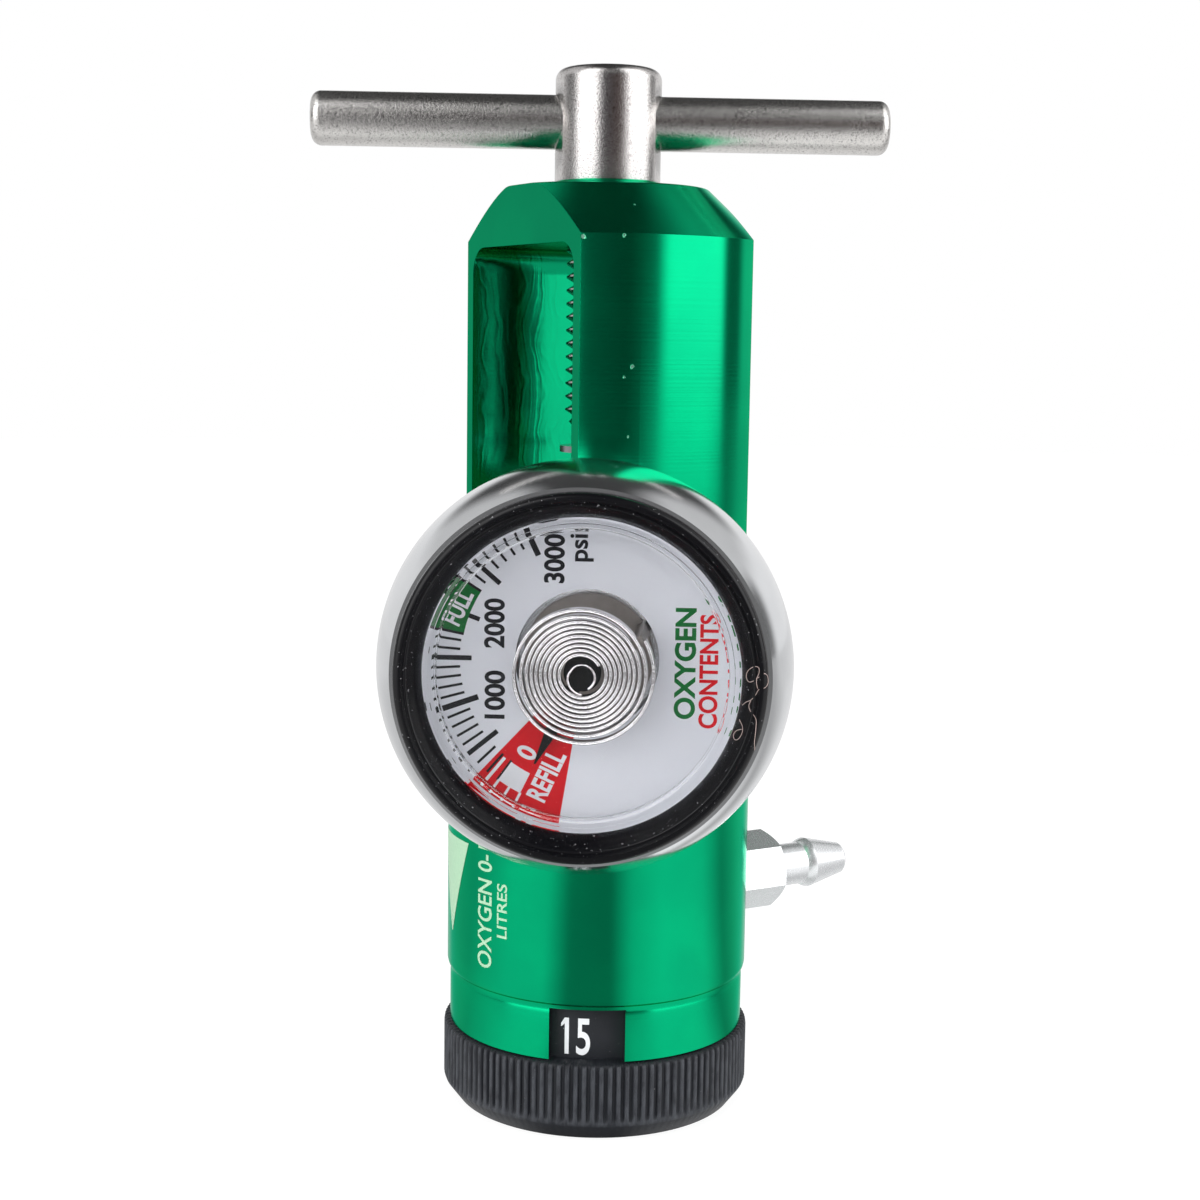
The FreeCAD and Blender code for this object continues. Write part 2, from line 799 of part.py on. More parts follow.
def in_front(shape):
    return outward(shape, gauge_direction, gauge_z)


def gauge_stem():
    """Brass stem: thread in the body, wrench hexagon, flange in the case and the coil's post."""
    thread_low = body_radius - gauge_thread_length
    flange_top = case_inside + stem_flange_thickness
    solid = cylinder(gauge_thread_radius, thread_low, gauge_hex_start)
    solid = solid.fuse(hexagon(gauge_hex, gauge_hex_start, case_back))
    solid = solid.fuse(cylinder(gauge_spigot_radius, case_back, case_inside))
    solid = solid.fuse(cylinder(stem_flange_radius, case_inside, flange_top))
    post_circle = coil_outer_radius - coil_wall / 2 - post_size / 2
    post = Part.makeBox(post_size, post_size, coil_back - case_inside,
                        FreeCAD.Vector(post_circle - post_size / 2, -post_size / 2, case_inside))
    post.rotate(CENTRE, UP, coil_end_deg)
    solid = solid.fuse(post)
    socket = cylinder(arbor_radius + running_fit, flange_top - arbor_socket_depth, flange_top)
    passage = cylinder(nipple_bore_radius, thread_low, flange_top - arbor_socket_depth - case_wall)
    return in_front(solid.cut(socket).cut(passage))


def gauge_case():
    """Deep-drawn case: flat back, bulged side and a bed for the dial."""
    hole = gauge_spigot_radius + running_fit
    bed = case_back + dial_bed_depth
    solid = turned([(hole, case_back), (case_back_radius, case_back),
                    ("arc", (case_wide_radius, case_back + case_wide_depth), (case_front_radius, case_front)),
                    (case_bore_radius, case_front), (case_bore_radius, bed), (dial_bed_radius, bed),
                    (dial_bed_radius, case_inside), (hole, case_inside)])
    back_edge = [edge for edge in solid.Edges
                 if edge.BoundBox.ZLength < press_fit and edge.BoundBox.XMax > case_back_radius - press_fit
                 and edge.BoundBox.ZMax < case_inside]
    return in_front(solid.makeFillet(case_back_round, back_edge))


def gauge_dial():
    bed = case_back + dial_bed_depth
    return in_front(ring(case_bore_radius - loose_fit, dial_hole_radius, bed, dial_front))


def gauge_lens():
    """Clear moulded lens: a flat raised window with a rounded edge over a clamped flange."""
    edge = lens_radius - lens_flat_radius
    inner = lens_radius - lens_wall
    middle = math.sqrt(0.5) * edge
    solid = turned([(0, lens_inside), (inner, lens_inside), (inner, lens_back), (lens_flange_radius, lens_back),
                    (lens_flange_radius, lens_step), (lens_radius, lens_step),
                    (lens_radius, lens_front - edge),
                    ("arc", (lens_flat_radius + middle, lens_front - edge + middle),
                     (lens_flat_radius, lens_front)),
                    (0, lens_front)])
    return in_front(solid)


def gauge_bezel():
    """Black ring pressed into the case over the lens flange."""
    inner = lens_radius + loose_fit
    skirt = case_bore_radius - running_fit
    lip = case_front_radius - bezel_inset
    solid = turned([(inner, lens_step + running_fit), (skirt, lens_step + running_fit), (skirt, case_front),
                    (lip, case_front), (lip, bezel_front - 2 * bezel_round),
                    ("arc", (lip - bezel_round / 2, bezel_front - bezel_round / 2),
                     (bezel_front_radius, bezel_front)),
                    (bezel_ridge_radius, bezel_front - bezel_ridge_drop),
                    (inner, bezel_front - bezel_inner_drop)])
    return in_front(solid)


def spiral_face():
    """Flat spiral strip of half-circle arcs whose centres alternate, so that every joint is tangent."""
    pitch = (coil_outer_radius - coil_inner_radius - coil_wall) / coil_turns
    first = coil_inner_radius + coil_wall / 2
    sides = []
    for offset in (coil_wall / 2, -coil_wall / 2):
        arcs = []
        for half_turn in range(2 * coil_turns):
            radius = first + half_turn * pitch / 2 + offset
            way = 1 if half_turn % 2 == 0 else -1
            centre = FreeCAD.Vector(-way * pitch / 4, 0, 0)
            start = centre + FreeCAD.Vector(way * radius, 0, 0)
            middle = centre + FreeCAD.Vector(0, way * radius, 0)
            end = centre - FreeCAD.Vector(way * radius, 0, 0)
            arcs.append((start, middle, end))
        sides.append(arcs)
    edges = [Part.Arc(*arc).toShape() for arc in sides[0]]
    edges.append(Part.makeLine(sides[0][-1][2], sides[1][-1][2]))
    edges += [Part.Arc(end, middle, start).toShape() for start, middle, end in reversed(sides[1])]
    edges.append(Part.makeLine(sides[1][0][0], sides[0][0][0]))
    return Part.Face(Part.Wire(edges))


def bourdon_tube():
    """Flattened tube wound in a flat spiral, its outer end soldered to the stem's post."""
    coil = spiral_face().extrude(UP * coil_width)
    coil.rotate(CENTRE, UP, coil_end_deg)
    coil.translate(UP * coil_back)
    return in_front(coil)


def gauge_pointer():
    """Arbor in the stem's socket, with the needle that reaches out from behind the coil."""
    low = case_inside + stem_flange_thickness - arbor_socket_depth + running_gap
    high = coil_front - arbor_front_gap
    needle_low = dial_front + pointer_height
    solid = cylinder(arbor_radius, low, high)
    solid = solid.fuse(cylinder(arbor_collar_radius, needle_low, needle_low + 3 * pointer_thickness))
    half = pointer_width / 2
    tip = pointer_tip_width / 2
    needle = Part.Face(Part.makePolygon([
        FreeCAD.Vector(0, -half, needle_low), FreeCAD.Vector(dial_hole_radius, -half, needle_low),
        FreeCAD.Vector(pointer_radius, -tip, needle_low), FreeCAD.Vector(pointer_radius, tip, needle_low),
        FreeCAD.Vector(dial_hole_radius, half, needle_low), FreeCAD.Vector(0, half, needle_low),
        FreeCAD.Vector(0, -half, needle_low)]))
    solid = solid.fuse(needle.extrude(UP * pointer_thickness)).removeSplitter()
    solid.rotate(CENTRE, UP, zero_mark_deg)
    return in_front(solid)


# Hose barb on the side away from the open face

def outlet_barb():
    """Hexagon, neck and a single hose barb with a rounded flare, a sharp crest and a long cone."""
    hex_low = body_radius
    hex_high = hex_low + barb_hex_length
    shank_high = hex_high + barb_shank_length
    crest = shank_high + barb_flare_length
    tip = crest + barb_cone_length
    corner = barb_hex / math.sqrt(3)
    nut = hexagon(barb_hex, hex_low, hex_high).common(turned([
        (0, hex_low), (corner, hex_low), (corner, hex_high - barb_hex_chamfer),
        (corner - 2 * barb_hex_chamfer, hex_high), (0, hex_high)]))
    nut.rotate(CENTRE, UP, -barb_hex_turn_deg)
    spigot = turned([
        (0, body_radius - spigot_length), (spigot_radius, body_radius - spigot_length),
        (spigot_radius, bore_radius), (barb_thread_radius, bore_radius), (barb_thread_radius, hex_low),
        (0, hex_low)])
    ring_place = body_radius - spigot_length + spigot_ring_setback
    spigot = spigot.cut(groove(spigot_radius + cutter_margin,
                               spigot_radius - 2 * spigot_ring_radius + running_fit,
                               spigot_ring_radius, ring_place))
    flare_middle = (barb_shank_radius + barb_crest_radius) / 2 + barb_flare_bulge
    nose = turned([
        (0, hex_high), (barb_shank_radius, hex_high), (barb_shank_radius, shank_high),
        ("arc", (flare_middle, shank_high + barb_flare_length / 2), (barb_crest_radius, crest)),
        (barb_tip_radius, tip - barb_tip_round),
        corner_arc((barb_tip_radius - barb_tip_round, tip - barb_tip_round), barb_tip_round, 0, 90),
        (0, tip)])
    solid = spigot.fuse(nut).fuse(nose)
    return outward(solid.cut(cylinder(barb_bore_radius, 0, tip)), outlet_direction, port_z)


def barb_oring():
    ring_place = body_radius - spigot_length + spigot_ring_setback
    torus = o_ring(spigot_radius - spigot_ring_radius + loose_fit, spigot_ring_radius, ring_place)
    return outward(torus, outlet_direction, port_z)


# Yoke screw with its cross bar and retaining clip

def t_screw():
    hub_top = hub_bottom + hub_height
    clip_low = screw_clip_top - screw_clip_thickness - running_fit
    clip_high = screw_clip_top + running_fit
    groove_radius = neck_radius - screw_clip_groove_depth
    solid = turned([
        (0, screw_tip), (tip_radius, screw_tip), (neck_radius, screw_tip + tip_taper), (neck_radius, clip_low),
        (groove_radius, clip_low), (groove_radius, clip_high), (neck_radius, clip_high),
        (neck_radius, thread_bottom), (thread_radius, thread_bottom + thread_radius - neck_radius),
        (thread_radius, hub_bottom), (hub_radius - hub_foot_round, hub_bottom),
        corner_arc((hub_radius - hub_foot_round, hub_bottom + hub_foot_round), hub_foot_round, -90, 0),
        (hub_radius, hub_top - hub_round),
        corner_arc((hub_radius - hub_round, hub_top - hub_round), hub_round, 0, 90), (0, hub_top)])
    hole = cylinder(bar_radius + press_fit, -hub_radius - cutter_margin, hub_radius + cutter_margin)
    return solid.cut(outward(hole, bar_direction(), hub_bottom + bar_height))


def bar_direction():
    angle = math.radians(bar_angle_deg)
    return FreeCAD.Vector(math.cos(angle), math.sin(angle), 0)


def t_bar():
    low = bar_offset - bar_length / 2
    high = bar_offset + bar_length / 2
    inset = bar_radius - bar_round
    solid = turned([(0, low), (inset, low), corner_arc((inset, low + bar_round), bar_round, -90, 0),
                    (bar_radius, high - bar_round), corner_arc((inset, high - bar_round), bar_round, 0, 90),
                    (0, high)])
    return outward(solid, bar_direction(), hub_bottom + bar_height)


def screw_clip():
    """Open retaining washer that stops the screw at the window's ceiling."""
    low = screw_clip_top - screw_clip_thickness
    inner = neck_radius - screw_clip_groove_depth + running_fit
    solid = ring(screw_clip_radius, inner, low, screw_clip_top)
    mouth = Part.makeBox(screw_clip_radius + cutter_margin, screw_clip_opening, screw_clip_thickness,
                         FreeCAD.Vector(0, -screw_clip_opening / 2, low))
    return solid.cut(mouth)


NODES = [
    body, index_pins, inlet_nipple, inlet_filter, inlet_washer, nozzle,
    piston, piston_oring, piston_seat, stem_oring, piston_spring,
    selector_base, base_orings, base_clip, port_seal, orifice_plate, selector_shaft, shaft_oring,
    knob, knob_cap, knob_screw, detent_ball, detent_spring,
    gauge_stem, gauge_case, gauge_dial, gauge_lens, gauge_bezel, bourdon_tube, gauge_pointer,
    outlet_barb, barb_oring, t_screw, t_bar, screw_clip]

os.makedirs("parts", exist_ok=True)
for node in NODES:
    shape = node()
    shape.exportStep("parts/" + node.__name__ + ".step")
    print(node.__name__, "solids", len(shape.Solids), "volume", round(shape.Volume, 2), "valid", shape.isValid())
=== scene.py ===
import cmath
import math
import random

import bmesh
import bpy
from mathutils import Matrix, Vector


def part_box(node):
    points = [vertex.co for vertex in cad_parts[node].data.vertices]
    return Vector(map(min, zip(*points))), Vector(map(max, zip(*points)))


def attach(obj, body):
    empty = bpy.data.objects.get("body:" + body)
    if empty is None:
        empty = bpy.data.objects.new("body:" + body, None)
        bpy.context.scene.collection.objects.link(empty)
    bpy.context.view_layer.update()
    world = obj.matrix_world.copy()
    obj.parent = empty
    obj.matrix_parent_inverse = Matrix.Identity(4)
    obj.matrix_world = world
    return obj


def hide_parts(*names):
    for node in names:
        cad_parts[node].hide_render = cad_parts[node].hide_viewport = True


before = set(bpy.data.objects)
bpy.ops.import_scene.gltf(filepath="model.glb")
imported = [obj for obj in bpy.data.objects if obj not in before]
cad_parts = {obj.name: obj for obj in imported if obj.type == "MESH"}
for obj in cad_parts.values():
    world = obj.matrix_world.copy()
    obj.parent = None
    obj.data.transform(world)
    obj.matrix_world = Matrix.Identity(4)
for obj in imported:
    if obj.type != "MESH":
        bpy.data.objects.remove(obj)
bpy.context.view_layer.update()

# Camera, as near to the regulator as the photograph was taken. It looks down a little on the side
# that the gauge faces, and it is tipped slightly to one side.
mm = 0.001
view_azimuth = math.radians(61.0)
view_elevation = math.radians(7.46)
view_roll = math.radians(0.85)
camera_distance = 243.9 * mm
aim_height = 62.35
aim_left = 0.15


def around(radius, angle, height=0.0):
    """Point at this angle round the Z axis, counted from +X towards +Y."""
    return Vector((radius * math.cos(angle), radius * math.sin(angle), height))


def outward(azimuth, elevation=0.0):
    """Direction out from the middle, its azimuth counted from -Y towards +X."""
    return Vector((math.sin(azimuth) * math.cos(elevation), -math.cos(azimuth) * math.cos(elevation),
                   math.sin(elevation)))


def in_scene(name, data):
    """New object of this data, in the scene."""
    made = bpy.data.objects.new(name, data)
    bpy.context.scene.collection.objects.link(made)
    return made


camera_back = outward(view_azimuth, view_elevation)
camera_right = around(1, view_azimuth)
camera_up = camera_back.cross(camera_right)
aim = Vector((0, 0, aim_height * mm)) - aim_left * mm * camera_right
camera = in_scene("camera", bpy.data.cameras.new("camera"))
camera.data.sensor_width = 36.0
camera.data.lens = 59.25
camera.data.clip_start = 0.01
facing = Matrix((camera_right, camera_up, camera_back)).transposed() @ Matrix.Rotation(view_roll, 3, "Z")
camera.matrix_world = Matrix.Translation(aim + camera_back * camera_distance) @ facing.to_4x4()
bpy.context.scene.camera = camera
bpy.context.scene.view_settings.view_transform = "Standard"


# Floor, studio and lamps. The regulator stands on a pale table in a light tent with a soft box on each
# side. The tent is dark overhead and round the camera, and polished metal shows that as dark bands.
def arithmetic(operation, turned_round=False):
    """Method that adds a Math node of this kind to a Wire."""
    def method(self, other):
        return self.math(operation, *((other, self) if turned_round else (self, other)))
    return method


class Wire:
    """A value in a material: one output socket, on which arithmetic adds Math nodes."""

    def __init__(self, tree, socket=None):
        self.tree = tree
        self.socket = socket

    def node(self, kind, settings, sockets, output=0):
        """Adds a node of this kind: its settings first, then the values or links of its sockets."""
        made = self.tree.nodes.new("ShaderNode" + kind)
        for name, value in settings.items():
            if name == "stops":
                while len(made.color_ramp.elements) < len(value):
                    made.color_ramp.elements.new(1.0)
                for element, (place, colour) in zip(made.color_ramp.elements, value):
                    element.position = place
                    element.color = colour
            else:
                setattr(made, name, value)
        for name, value in sockets.items():
            if isinstance(value, Wire):
                self.tree.links.new(value.socket, made.inputs[name])
            else:
                made.inputs[name].default_value = value
        return Wire(self.tree, made.outputs[output])

    def math(self, operation, *values):
        return self.node("Math", {"operation": operation}, dict(enumerate(values)))

    def measure(self, operation, *values):
        """A number from vectors: a length, a distance or a dot product."""
        return self.node("VectorMath", {"operation": operation}, dict(enumerate((self, *values))), "Value")

    __add__ = __radd__ = arithmetic("ADD")
    __sub__ = arithmetic("SUBTRACT")
    __rsub__ = arithmetic("SUBTRACT", turned_round=True)
    __mul__ = __rmul__ = arithmetic("MULTIPLY")
    __truediv__ = arithmetic("DIVIDE")
    __pow__ = arithmetic("POWER")
    max = arithmetic("MAXIMUM")

    def between(self, low, high):
        """0 at low and 1 at high, smooth in between; high may be the lower number."""
        return self.node("MapRange", {"interpolation_type": "SMOOTHSTEP"},
                         {"Value": self, "From Min": low, "From Max": high})

    def mix(self, low, high):
        """Colour low where this value is 0, and high where it is 1."""
        return self.node("Mix", {"data_type": "RGBA"}, {0: self, 6: low, 7: high}, 2)


def grey(level):
    return (level, level, level, 1.0)


def light_path(tree, *names):
    """Outputs of the Light Path node: 1 for rays of that kind, 0 for others."""
    path = tree.nodes.new("ShaderNodeLightPath")
    return [Wire(tree, path.outputs[name]) for name in names]


def tent(direction, stops, gain):
    """Light of the tent round the object. Each stop is an azimuth, counted from the camera to the right,
    and a grey level or a colour."""
    depth = direction.measure("DOT_PRODUCT", tuple(outward(view_azimuth)))
    side = direction.measure("DOT_PRODUCT", tuple(camera_right))
    turn = side.math("ARCTAN2", side, depth) / (2 * math.pi) + 0.5
    places = [(azimuth / 360.0 + 0.5, light if isinstance(light, tuple) else grey(light))
              for azimuth, light in stops]
    ramp = turn.node("ValToRGB", {"stops": places}, {"Fac": turn})
    return ramp.node("Mix", {"data_type": "RGBA", "blend_type": "MULTIPLY"},
                     {0: 1.0, 6: ramp, 7: grey(gain)}, 2)


def finish(name, recipe, **fixed):
    """Principled material. The recipe gives the sockets that vary, from the piece's own coordinates."""
    made = bpy.data.materials.new(name)
    made.use_nodes = True
    tree = made.node_tree
    shader = tree.nodes["Principled BSDF"]
    for socket, value in fixed.items():
        shader.inputs[socket.replace("_", " ")].default_value = value
    here = Wire(tree).node("TexCoord", {}, {}, output="Object")
    for socket, value in recipe(here).items():
        tree.links.new(value.socket, shader.inputs[socket])
    return made


def piece(name, bm, place=None, smooth_deg=35):
    """Makes a bmesh in millimetres an object of the model, in its place."""
    bmesh.ops.scale(bm, vec=(mm, mm, mm), verts=bm.verts)
    if place is not None:
        bmesh.ops.transform(bm, matrix=place, verts=bm.verts)
    mesh = bpy.data.meshes.new(name)
    bm.to_mesh(mesh)
    bm.free()
    made = in_scene(name, mesh)
    mesh.shade_smooth()
    mesh.set_sharp_from_angle(angle=math.radians(smooth_deg))
    return made


world = bpy.data.worlds.new("studio")
bpy.context.scene.world = world
world.use_nodes = True
world_tree = world.node_tree
background = world_tree.nodes["Background"]
direction = Wire(world_tree).node("TexCoord", {}, {}, output="Generated")
low_stops = [
    (-180, 0.30), (-118, 0.27), (-100, 0.08), (-74, 0.09), (-66, 0.86), (-27, 0.80),
    (-20, (0.048, 0.048, 0.050, 1)), (4, (0.030, 0.027, 0.028, 1)), (18, (0.024, 0.017, 0.016, 1)),
    (28, (0.050, 0.040, 0.038, 1)), (38, (0.07, 0.062, 0.062, 1)), (47, 0.74), (93, 0.78), (99, 0.045),
    (114, 0.045), (122, 0.30), (180, 0.30)]
middle_stops = [
    (-180, 0.02), (-152, 0.02), (-138, 0.20), (-74, 0.24), (-66, 0.80), (-27, 0.80), (-20, 0.06),
    (38, 0.07), (47, 0.80), (93, 0.80), (104, 0.22), (138, 0.20), (152, 0.02), (180, 0.02)]
wall_gain = 2.9
upward = direction.node("SeparateXYZ", {}, {"Vector": direction}, "Z")
walls = upward.between(0.26, 0.48).mix(tent(direction, low_stops, wall_gain),
                                       tent(direction, middle_stops, wall_gain))
walls = upward.between(0.80, 0.97).mix(walls, grey(0.05))
ray_kinds = ("Is Camera Ray", "Is Glossy Ray", "Is Transmission Ray")
camera_ray, glossy_ray, clear_ray = light_path(world_tree, *ray_kinds)
lit = glossy_ray.max(clear_ray).mix(grey(0.55), walls)
world_tree.links.new(camera_ray.mix(lit, grey(1.0)).socket, background.inputs["Color"])

floor_bm = bmesh.new()
bmesh.ops.create_circle(floor_bm, cap_ends=True, segments=96, radius=1600.0)
floor = piece("floor", floor_bm)
floor_paint = finish("floor_paint", lambda here: {}, Base_Color=grey(0.86), Roughness=0.9)
floor_tree = floor_paint.node_tree
floor_place = Wire(floor_tree).node("TexCoord", {}, {}, output="Object")
near_stops = [
    (-180, 0.40), (-100, 0.24), (-62, 0.42), (-34, 0.40), (-18, 0.11), (10, 0.09), (24, 0.36), (45, 0.48),
    (80, 0.44), (102, 0.16), (130, 0.36), (180, 0.40)]
far_stops = [
    (-180, 0.40), (-100, 0.30), (-62, 0.42), (-30, 0.38), (-16, 0.045), (14, 0.035), (27, 0.12),
    (42, 0.44), (80, 0.46), (102, 0.12), (118, 0.30), (180, 0.40)]
table_gain = 2.2
mirror_share = 0.93
white_share = 0.78
reach = floor_place.measure("LENGTH")
table = reach.between(0.22, 0.38).mix(tent(floor_place, near_stops, table_gain),
                                      tent(floor_place, far_stops, table_gain))
seen_in_metal = floor_place.node("Emission", {}, {"Color": table})
seen_white = floor_place.node("Emission", {}, {"Color": grey(1.0), "Strength": 1.16})
camera_ray, glossy_ray, clear_ray = light_path(floor_tree, *ray_kinds)
plain = Wire(floor_tree, floor_tree.nodes["Principled BSDF"].outputs[0])
in_metal = plain.node("MixShader", {}, {0: glossy_ray.max(clear_ray) * mirror_share, 1: plain,
                                        2: seen_in_metal})
seen = plain.node("MixShader", {}, {0: camera_ray * white_share, 1: in_metal, 2: seen_white})
floor_tree.links.new(seen.socket, floor_tree.nodes["Material Output"].inputs["Surface"])
floor.data.materials.append(floor_paint)


def soft_box(name, azimuth_deg, elevation_deg, distance, width, height, watts):
    """Area lamp that faces the regulator, its azimuth counted from the camera towards the right."""
    lamp = bpy.data.lights.new(name, "AREA")
    lamp.shape = "RECTANGLE"
    lamp.size = width
    lamp.size_y = height
    lamp.energy = watts
    back = outward(view_azimuth + math.radians(azimuth_deg), math.radians(elevation_deg))
    box = in_scene(name, lamp)
    box.location = aim + back * distance
    box.rotation_euler = back.to_track_quat("Z", "Y").to_euler()
    box.visible_glossy = False


soft_box("box_right", 60.0, 14.0, 0.9, 0.62, 1.1, 4.4)
soft_box("box_left", -52.0, 22.0, 0.9, 0.55, 1.0, 4.0)
soft_box("box_above", 0.0, 80.0, 0.9, 0.9, 0.6, 2.4)
soft_box("box_front", -4.0, 6.0, 0.9, 0.5, 0.5, 3.4)


# Body of the regulator: one bar of aluminium, turned all over, with two flats and the yoke's window
# milled in it, then anodised a clear green. Its rim has a window for the number on the knob.
body_low, body_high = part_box("body")
body_radius = body_high.x / mm
floor_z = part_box("inlet_washer")[0].z / mm
body_top = body_high.z / mm
rim_bottom = body_low.z / mm
flat_distance = 11.5


def arc(centre, radius, start_deg, end_deg, count):
    """Points of a round stretch of an outline."""
    points = []
    for step in range(count + 1):
        angle = math.radians(start_deg + (end_deg - start_deg) * step / count)
        points.append((centre[0] + radius * math.cos(angle), centre[1] + radius * math.sin(angle)))
    return points


def spun(outline, steps=192, closed=True):
    """Bmesh turned about Z from (radius, height) points in millimetres."""
    bm = bmesh.new()
    verts = [bm.verts.new((radius, 0, height)) for radius, height in outline]
    pairs = list(zip(verts, verts[1:] + verts[:1]))
    edges = [bm.edges.new(pair) for pair in (pairs if closed else pairs[:-1])]
    bmesh.ops.spin(bm, geom=verts + edges, cent=(0, 0, 0), axis=(0, 0, 1), angle=2 * math.pi,
                   steps=steps, use_merge=True)
    bmesh.ops.remove_doubles(bm, verts=bm.verts, dist=0.0005)
    bmesh.ops.recalc_face_normals(bm, faces=bm.faces)
    return bm


def settled(holder):
    """Plain mesh of an object, as its modifiers or its curve leave it."""
    bpy.context.view_layer.update()
    return bpy.data.meshes.new_from_object(holder.evaluated_get(bpy.context.evaluated_depsgraph_get()))


def cut(target, cutters):
    """Takes each cutter out of the target, one after another, and leaves a plain mesh."""
    for cutter in cutters:
        modifier = target.modifiers.new("cut", "BOOLEAN")
        modifier.operation = "DIFFERENCE"
        modifier.solver = "EXACT"
        modifier.object = cutter
    done = settled(target)
    target.modifiers.clear()
    target.data = done
    for cutter in cutters:
        bpy.data.objects.remove(cutter)


def drill(name, radius, low, high, place=None, segments=64):
    """Round cutter along Z from low to high."""
    bm = bmesh.new()
    bmesh.ops.create_cone(bm, cap_ends=True, segments=segments, radius1=radius, radius2=radius,
                          depth=high - low)
    bmesh.ops.translate(bm, vec=(0, 0, (low + high) / 2), verts=bm.verts)
    return piece(name, bm, place)


def block(low, high):
    """Box between two corners."""
    bm = bmesh.new()
    bmesh.ops.create_cube(bm, size=1.0)
    bmesh.ops.scale(bm, vec=Vector(high) - Vector(low), verts=bm.verts)
    bmesh.ops.translate(bm, vec=(Vector(low) + Vector(high)) / 2, verts=bm.verts)
    return bm


def round_edges(bm, edges, radius, segments):
    """Rounds these edges of a bmesh."""
    bmesh.ops.bevel(bm, geom=edges, offset=radius, offset_type="OFFSET", affect="EDGES", segments=segments,
                    profile=0.5, clamp_overlap=True, material=-1)


gauge_azimuth = math.radians(58.0)
gauge_z = 59.3
gauge_out = outward(gauge_azimuth)


def pointing(direction, height):
    """Place of what was built along +Z and points level out of the body; its +X is up."""
    side = direction.cross(Vector((0, 0, 1)))
    turn = Matrix((Vector((0, 0, 1)), side, direction)).transposed().to_4x4()
    return Matrix.Translation((0, 0, height * mm)) @ turn


gauge_place = pointing(gauge_out, gauge_z)
rim_top = 16.5
rim_radius = 18.33
recess_radius = 16.9
bore_radius = 15.6
chamber_radius = 13.0
top_radius = 12.1
top_round = 0.8
cone_low = body_top - 6.2
thread_hole = 4.8125
ceiling_z = body_top - 7.0
window_half = 13.2
window_corner = 3.0
notch_half = 4.5
notch_top = 16.1
base_top = 30.6
chamber_top = 49.0
port_z = 25.5
body_outline = [
    (3.55, chamber_top), (3.55, 55.0), (2.61, 55.0), (2.61, 57.8), (3.0, 57.8), (3.0, 61.0), (4.65, 61.0),
    (4.65, 67.0), (thread_hole, 67.2), (thread_hole, body_top)]
body_outline += arc((top_radius - 0.317, body_top - top_round), top_round, 90, 46.8, 5)
body_outline += [
    (body_radius, cone_low), (body_radius, rim_top + 0.9), (body_radius - 0.10, rim_top + 0.45),
    (body_radius - 0.30, rim_top + 0.12), (rim_radius - 0.10, rim_top), (rim_radius - 0.16, rim_top - 0.25),
    (rim_radius - 0.08, rim_top - 0.7), (rim_radius, rim_top - 1.0), (rim_radius, rim_bottom),
    (recess_radius, rim_bottom), (recess_radius, 16.6), (bore_radius, 16.6), (bore_radius, base_top),
    (chamber_radius, base_top), (chamber_radius, chamber_top)]
body = piece("yoke_body", spun(body_outline, steps=240))
outside = 30.0
above_body = body_top + 5.0
flat_cutters = [piece("flat_cut", block((-outside, low, floor_z), (outside, high, above_body)))
                for low, high in ((flat_distance, outside), (-outside, -flat_distance))]
window_bm = block((-window_half, -outside, floor_z), (window_half, outside, ceiling_z))
corners = [edge for edge in window_bm.edges if abs(edge.verts[0].co.y - edge.verts[1].co.y) > outside]
round_edges(window_bm, corners, window_corner, 12)
window_cutter = piece("window_cut", window_bm)
notch_bm = block((rim_bottom - 2, -notch_half, 14.0), (notch_top, notch_half, 22.0))
notch_cutter = piece("notch_cut", notch_bm, pointing(gauge_out, 0))
gauge_bore = 4.85
barb_bore = 4.05
vent_bore = 0.8
vent_z = 45.0
past_skin = 20.0
gauge_hole = drill("gauge_cut", gauge_bore, 10.2, past_skin, gauge_place)
barb_hole = drill("barb_cut", barb_bore, 14.0, past_skin, pointing(Vector((0, 1, 0)), port_z))
vent_hole = drill("vent_cut", vent_bore, 12.0, past_skin, pointing(-gauge_out, vent_z), 32)
pin_bore = 1.61
pin_circle = 14.3
pin_turn = math.radians(18.0)
pin_holes = []
for side in (-1, 1):
    pin_out = outward(math.pi - side * pin_turn)
    pin_holes.append(drill("pin_cut", pin_bore, floor_z - 5.0, floor_z + 1.0,
                           Matrix.Translation(pin_out * pin_circle * mm), 32))
cut(body, flat_cutters + [window_cutter, notch_cutter, gauge_hole, barb_hole, vent_hole] + pin_holes)
edge_bevel = body.modifiers.new("edges", "BEVEL")
edge_settings = {"width": 0.16 * mm, "segments": 3, "limit_method": "ANGLE", "use_clamp_overlap": True,
                 "angle_limit": math.radians(28), "harden_normals": True, "material": 1}
for setting, value in edge_settings.items():
    setattr(edge_bevel, setting, value)


def noise(here, scale, detail=2.0, roughness=0.5, stretch=(1, 1, 1)):
    """Cloudy noise about 0.5. The scale is in patches per millimetre, and stretch squeezes an axis."""
    moved = here.node("Mapping", {}, {"Vector": here, "Scale": stretch})
    return here.node("TexNoise", {}, {"Vector": moved, "Scale": scale / mm, "Detail": detail,
                                      "Roughness": roughness})


def bump(height, depth, normal=None):
    """Surface normal of a height that runs from 0 to 1 over this depth in millimetres."""
    sockets = {"Height": height, "Distance": depth * mm}
    if normal is not None:
        sockets["Normal"] = normal
    return height.node("Bump", {}, sockets)


def along(here, axis):
    """One coordinate, in millimetres."""
    return here.node("SeparateXYZ", {}, {"Vector": here}, axis) / mm


def from_axis(here):
    """Distance from the Z axis, in millimetres."""
    x = along(here, "X")
    y = along(here, "Y")
    return (x * x + y * y) ** 0.5


def stripes(place, scale, detail):
    """Uneven lines across one direction."""
    sockets = {"W": place, "Scale": scale, "Detail": detail}
    return place.node("TexNoise", {"noise_dimensions": "1D"}, sockets)


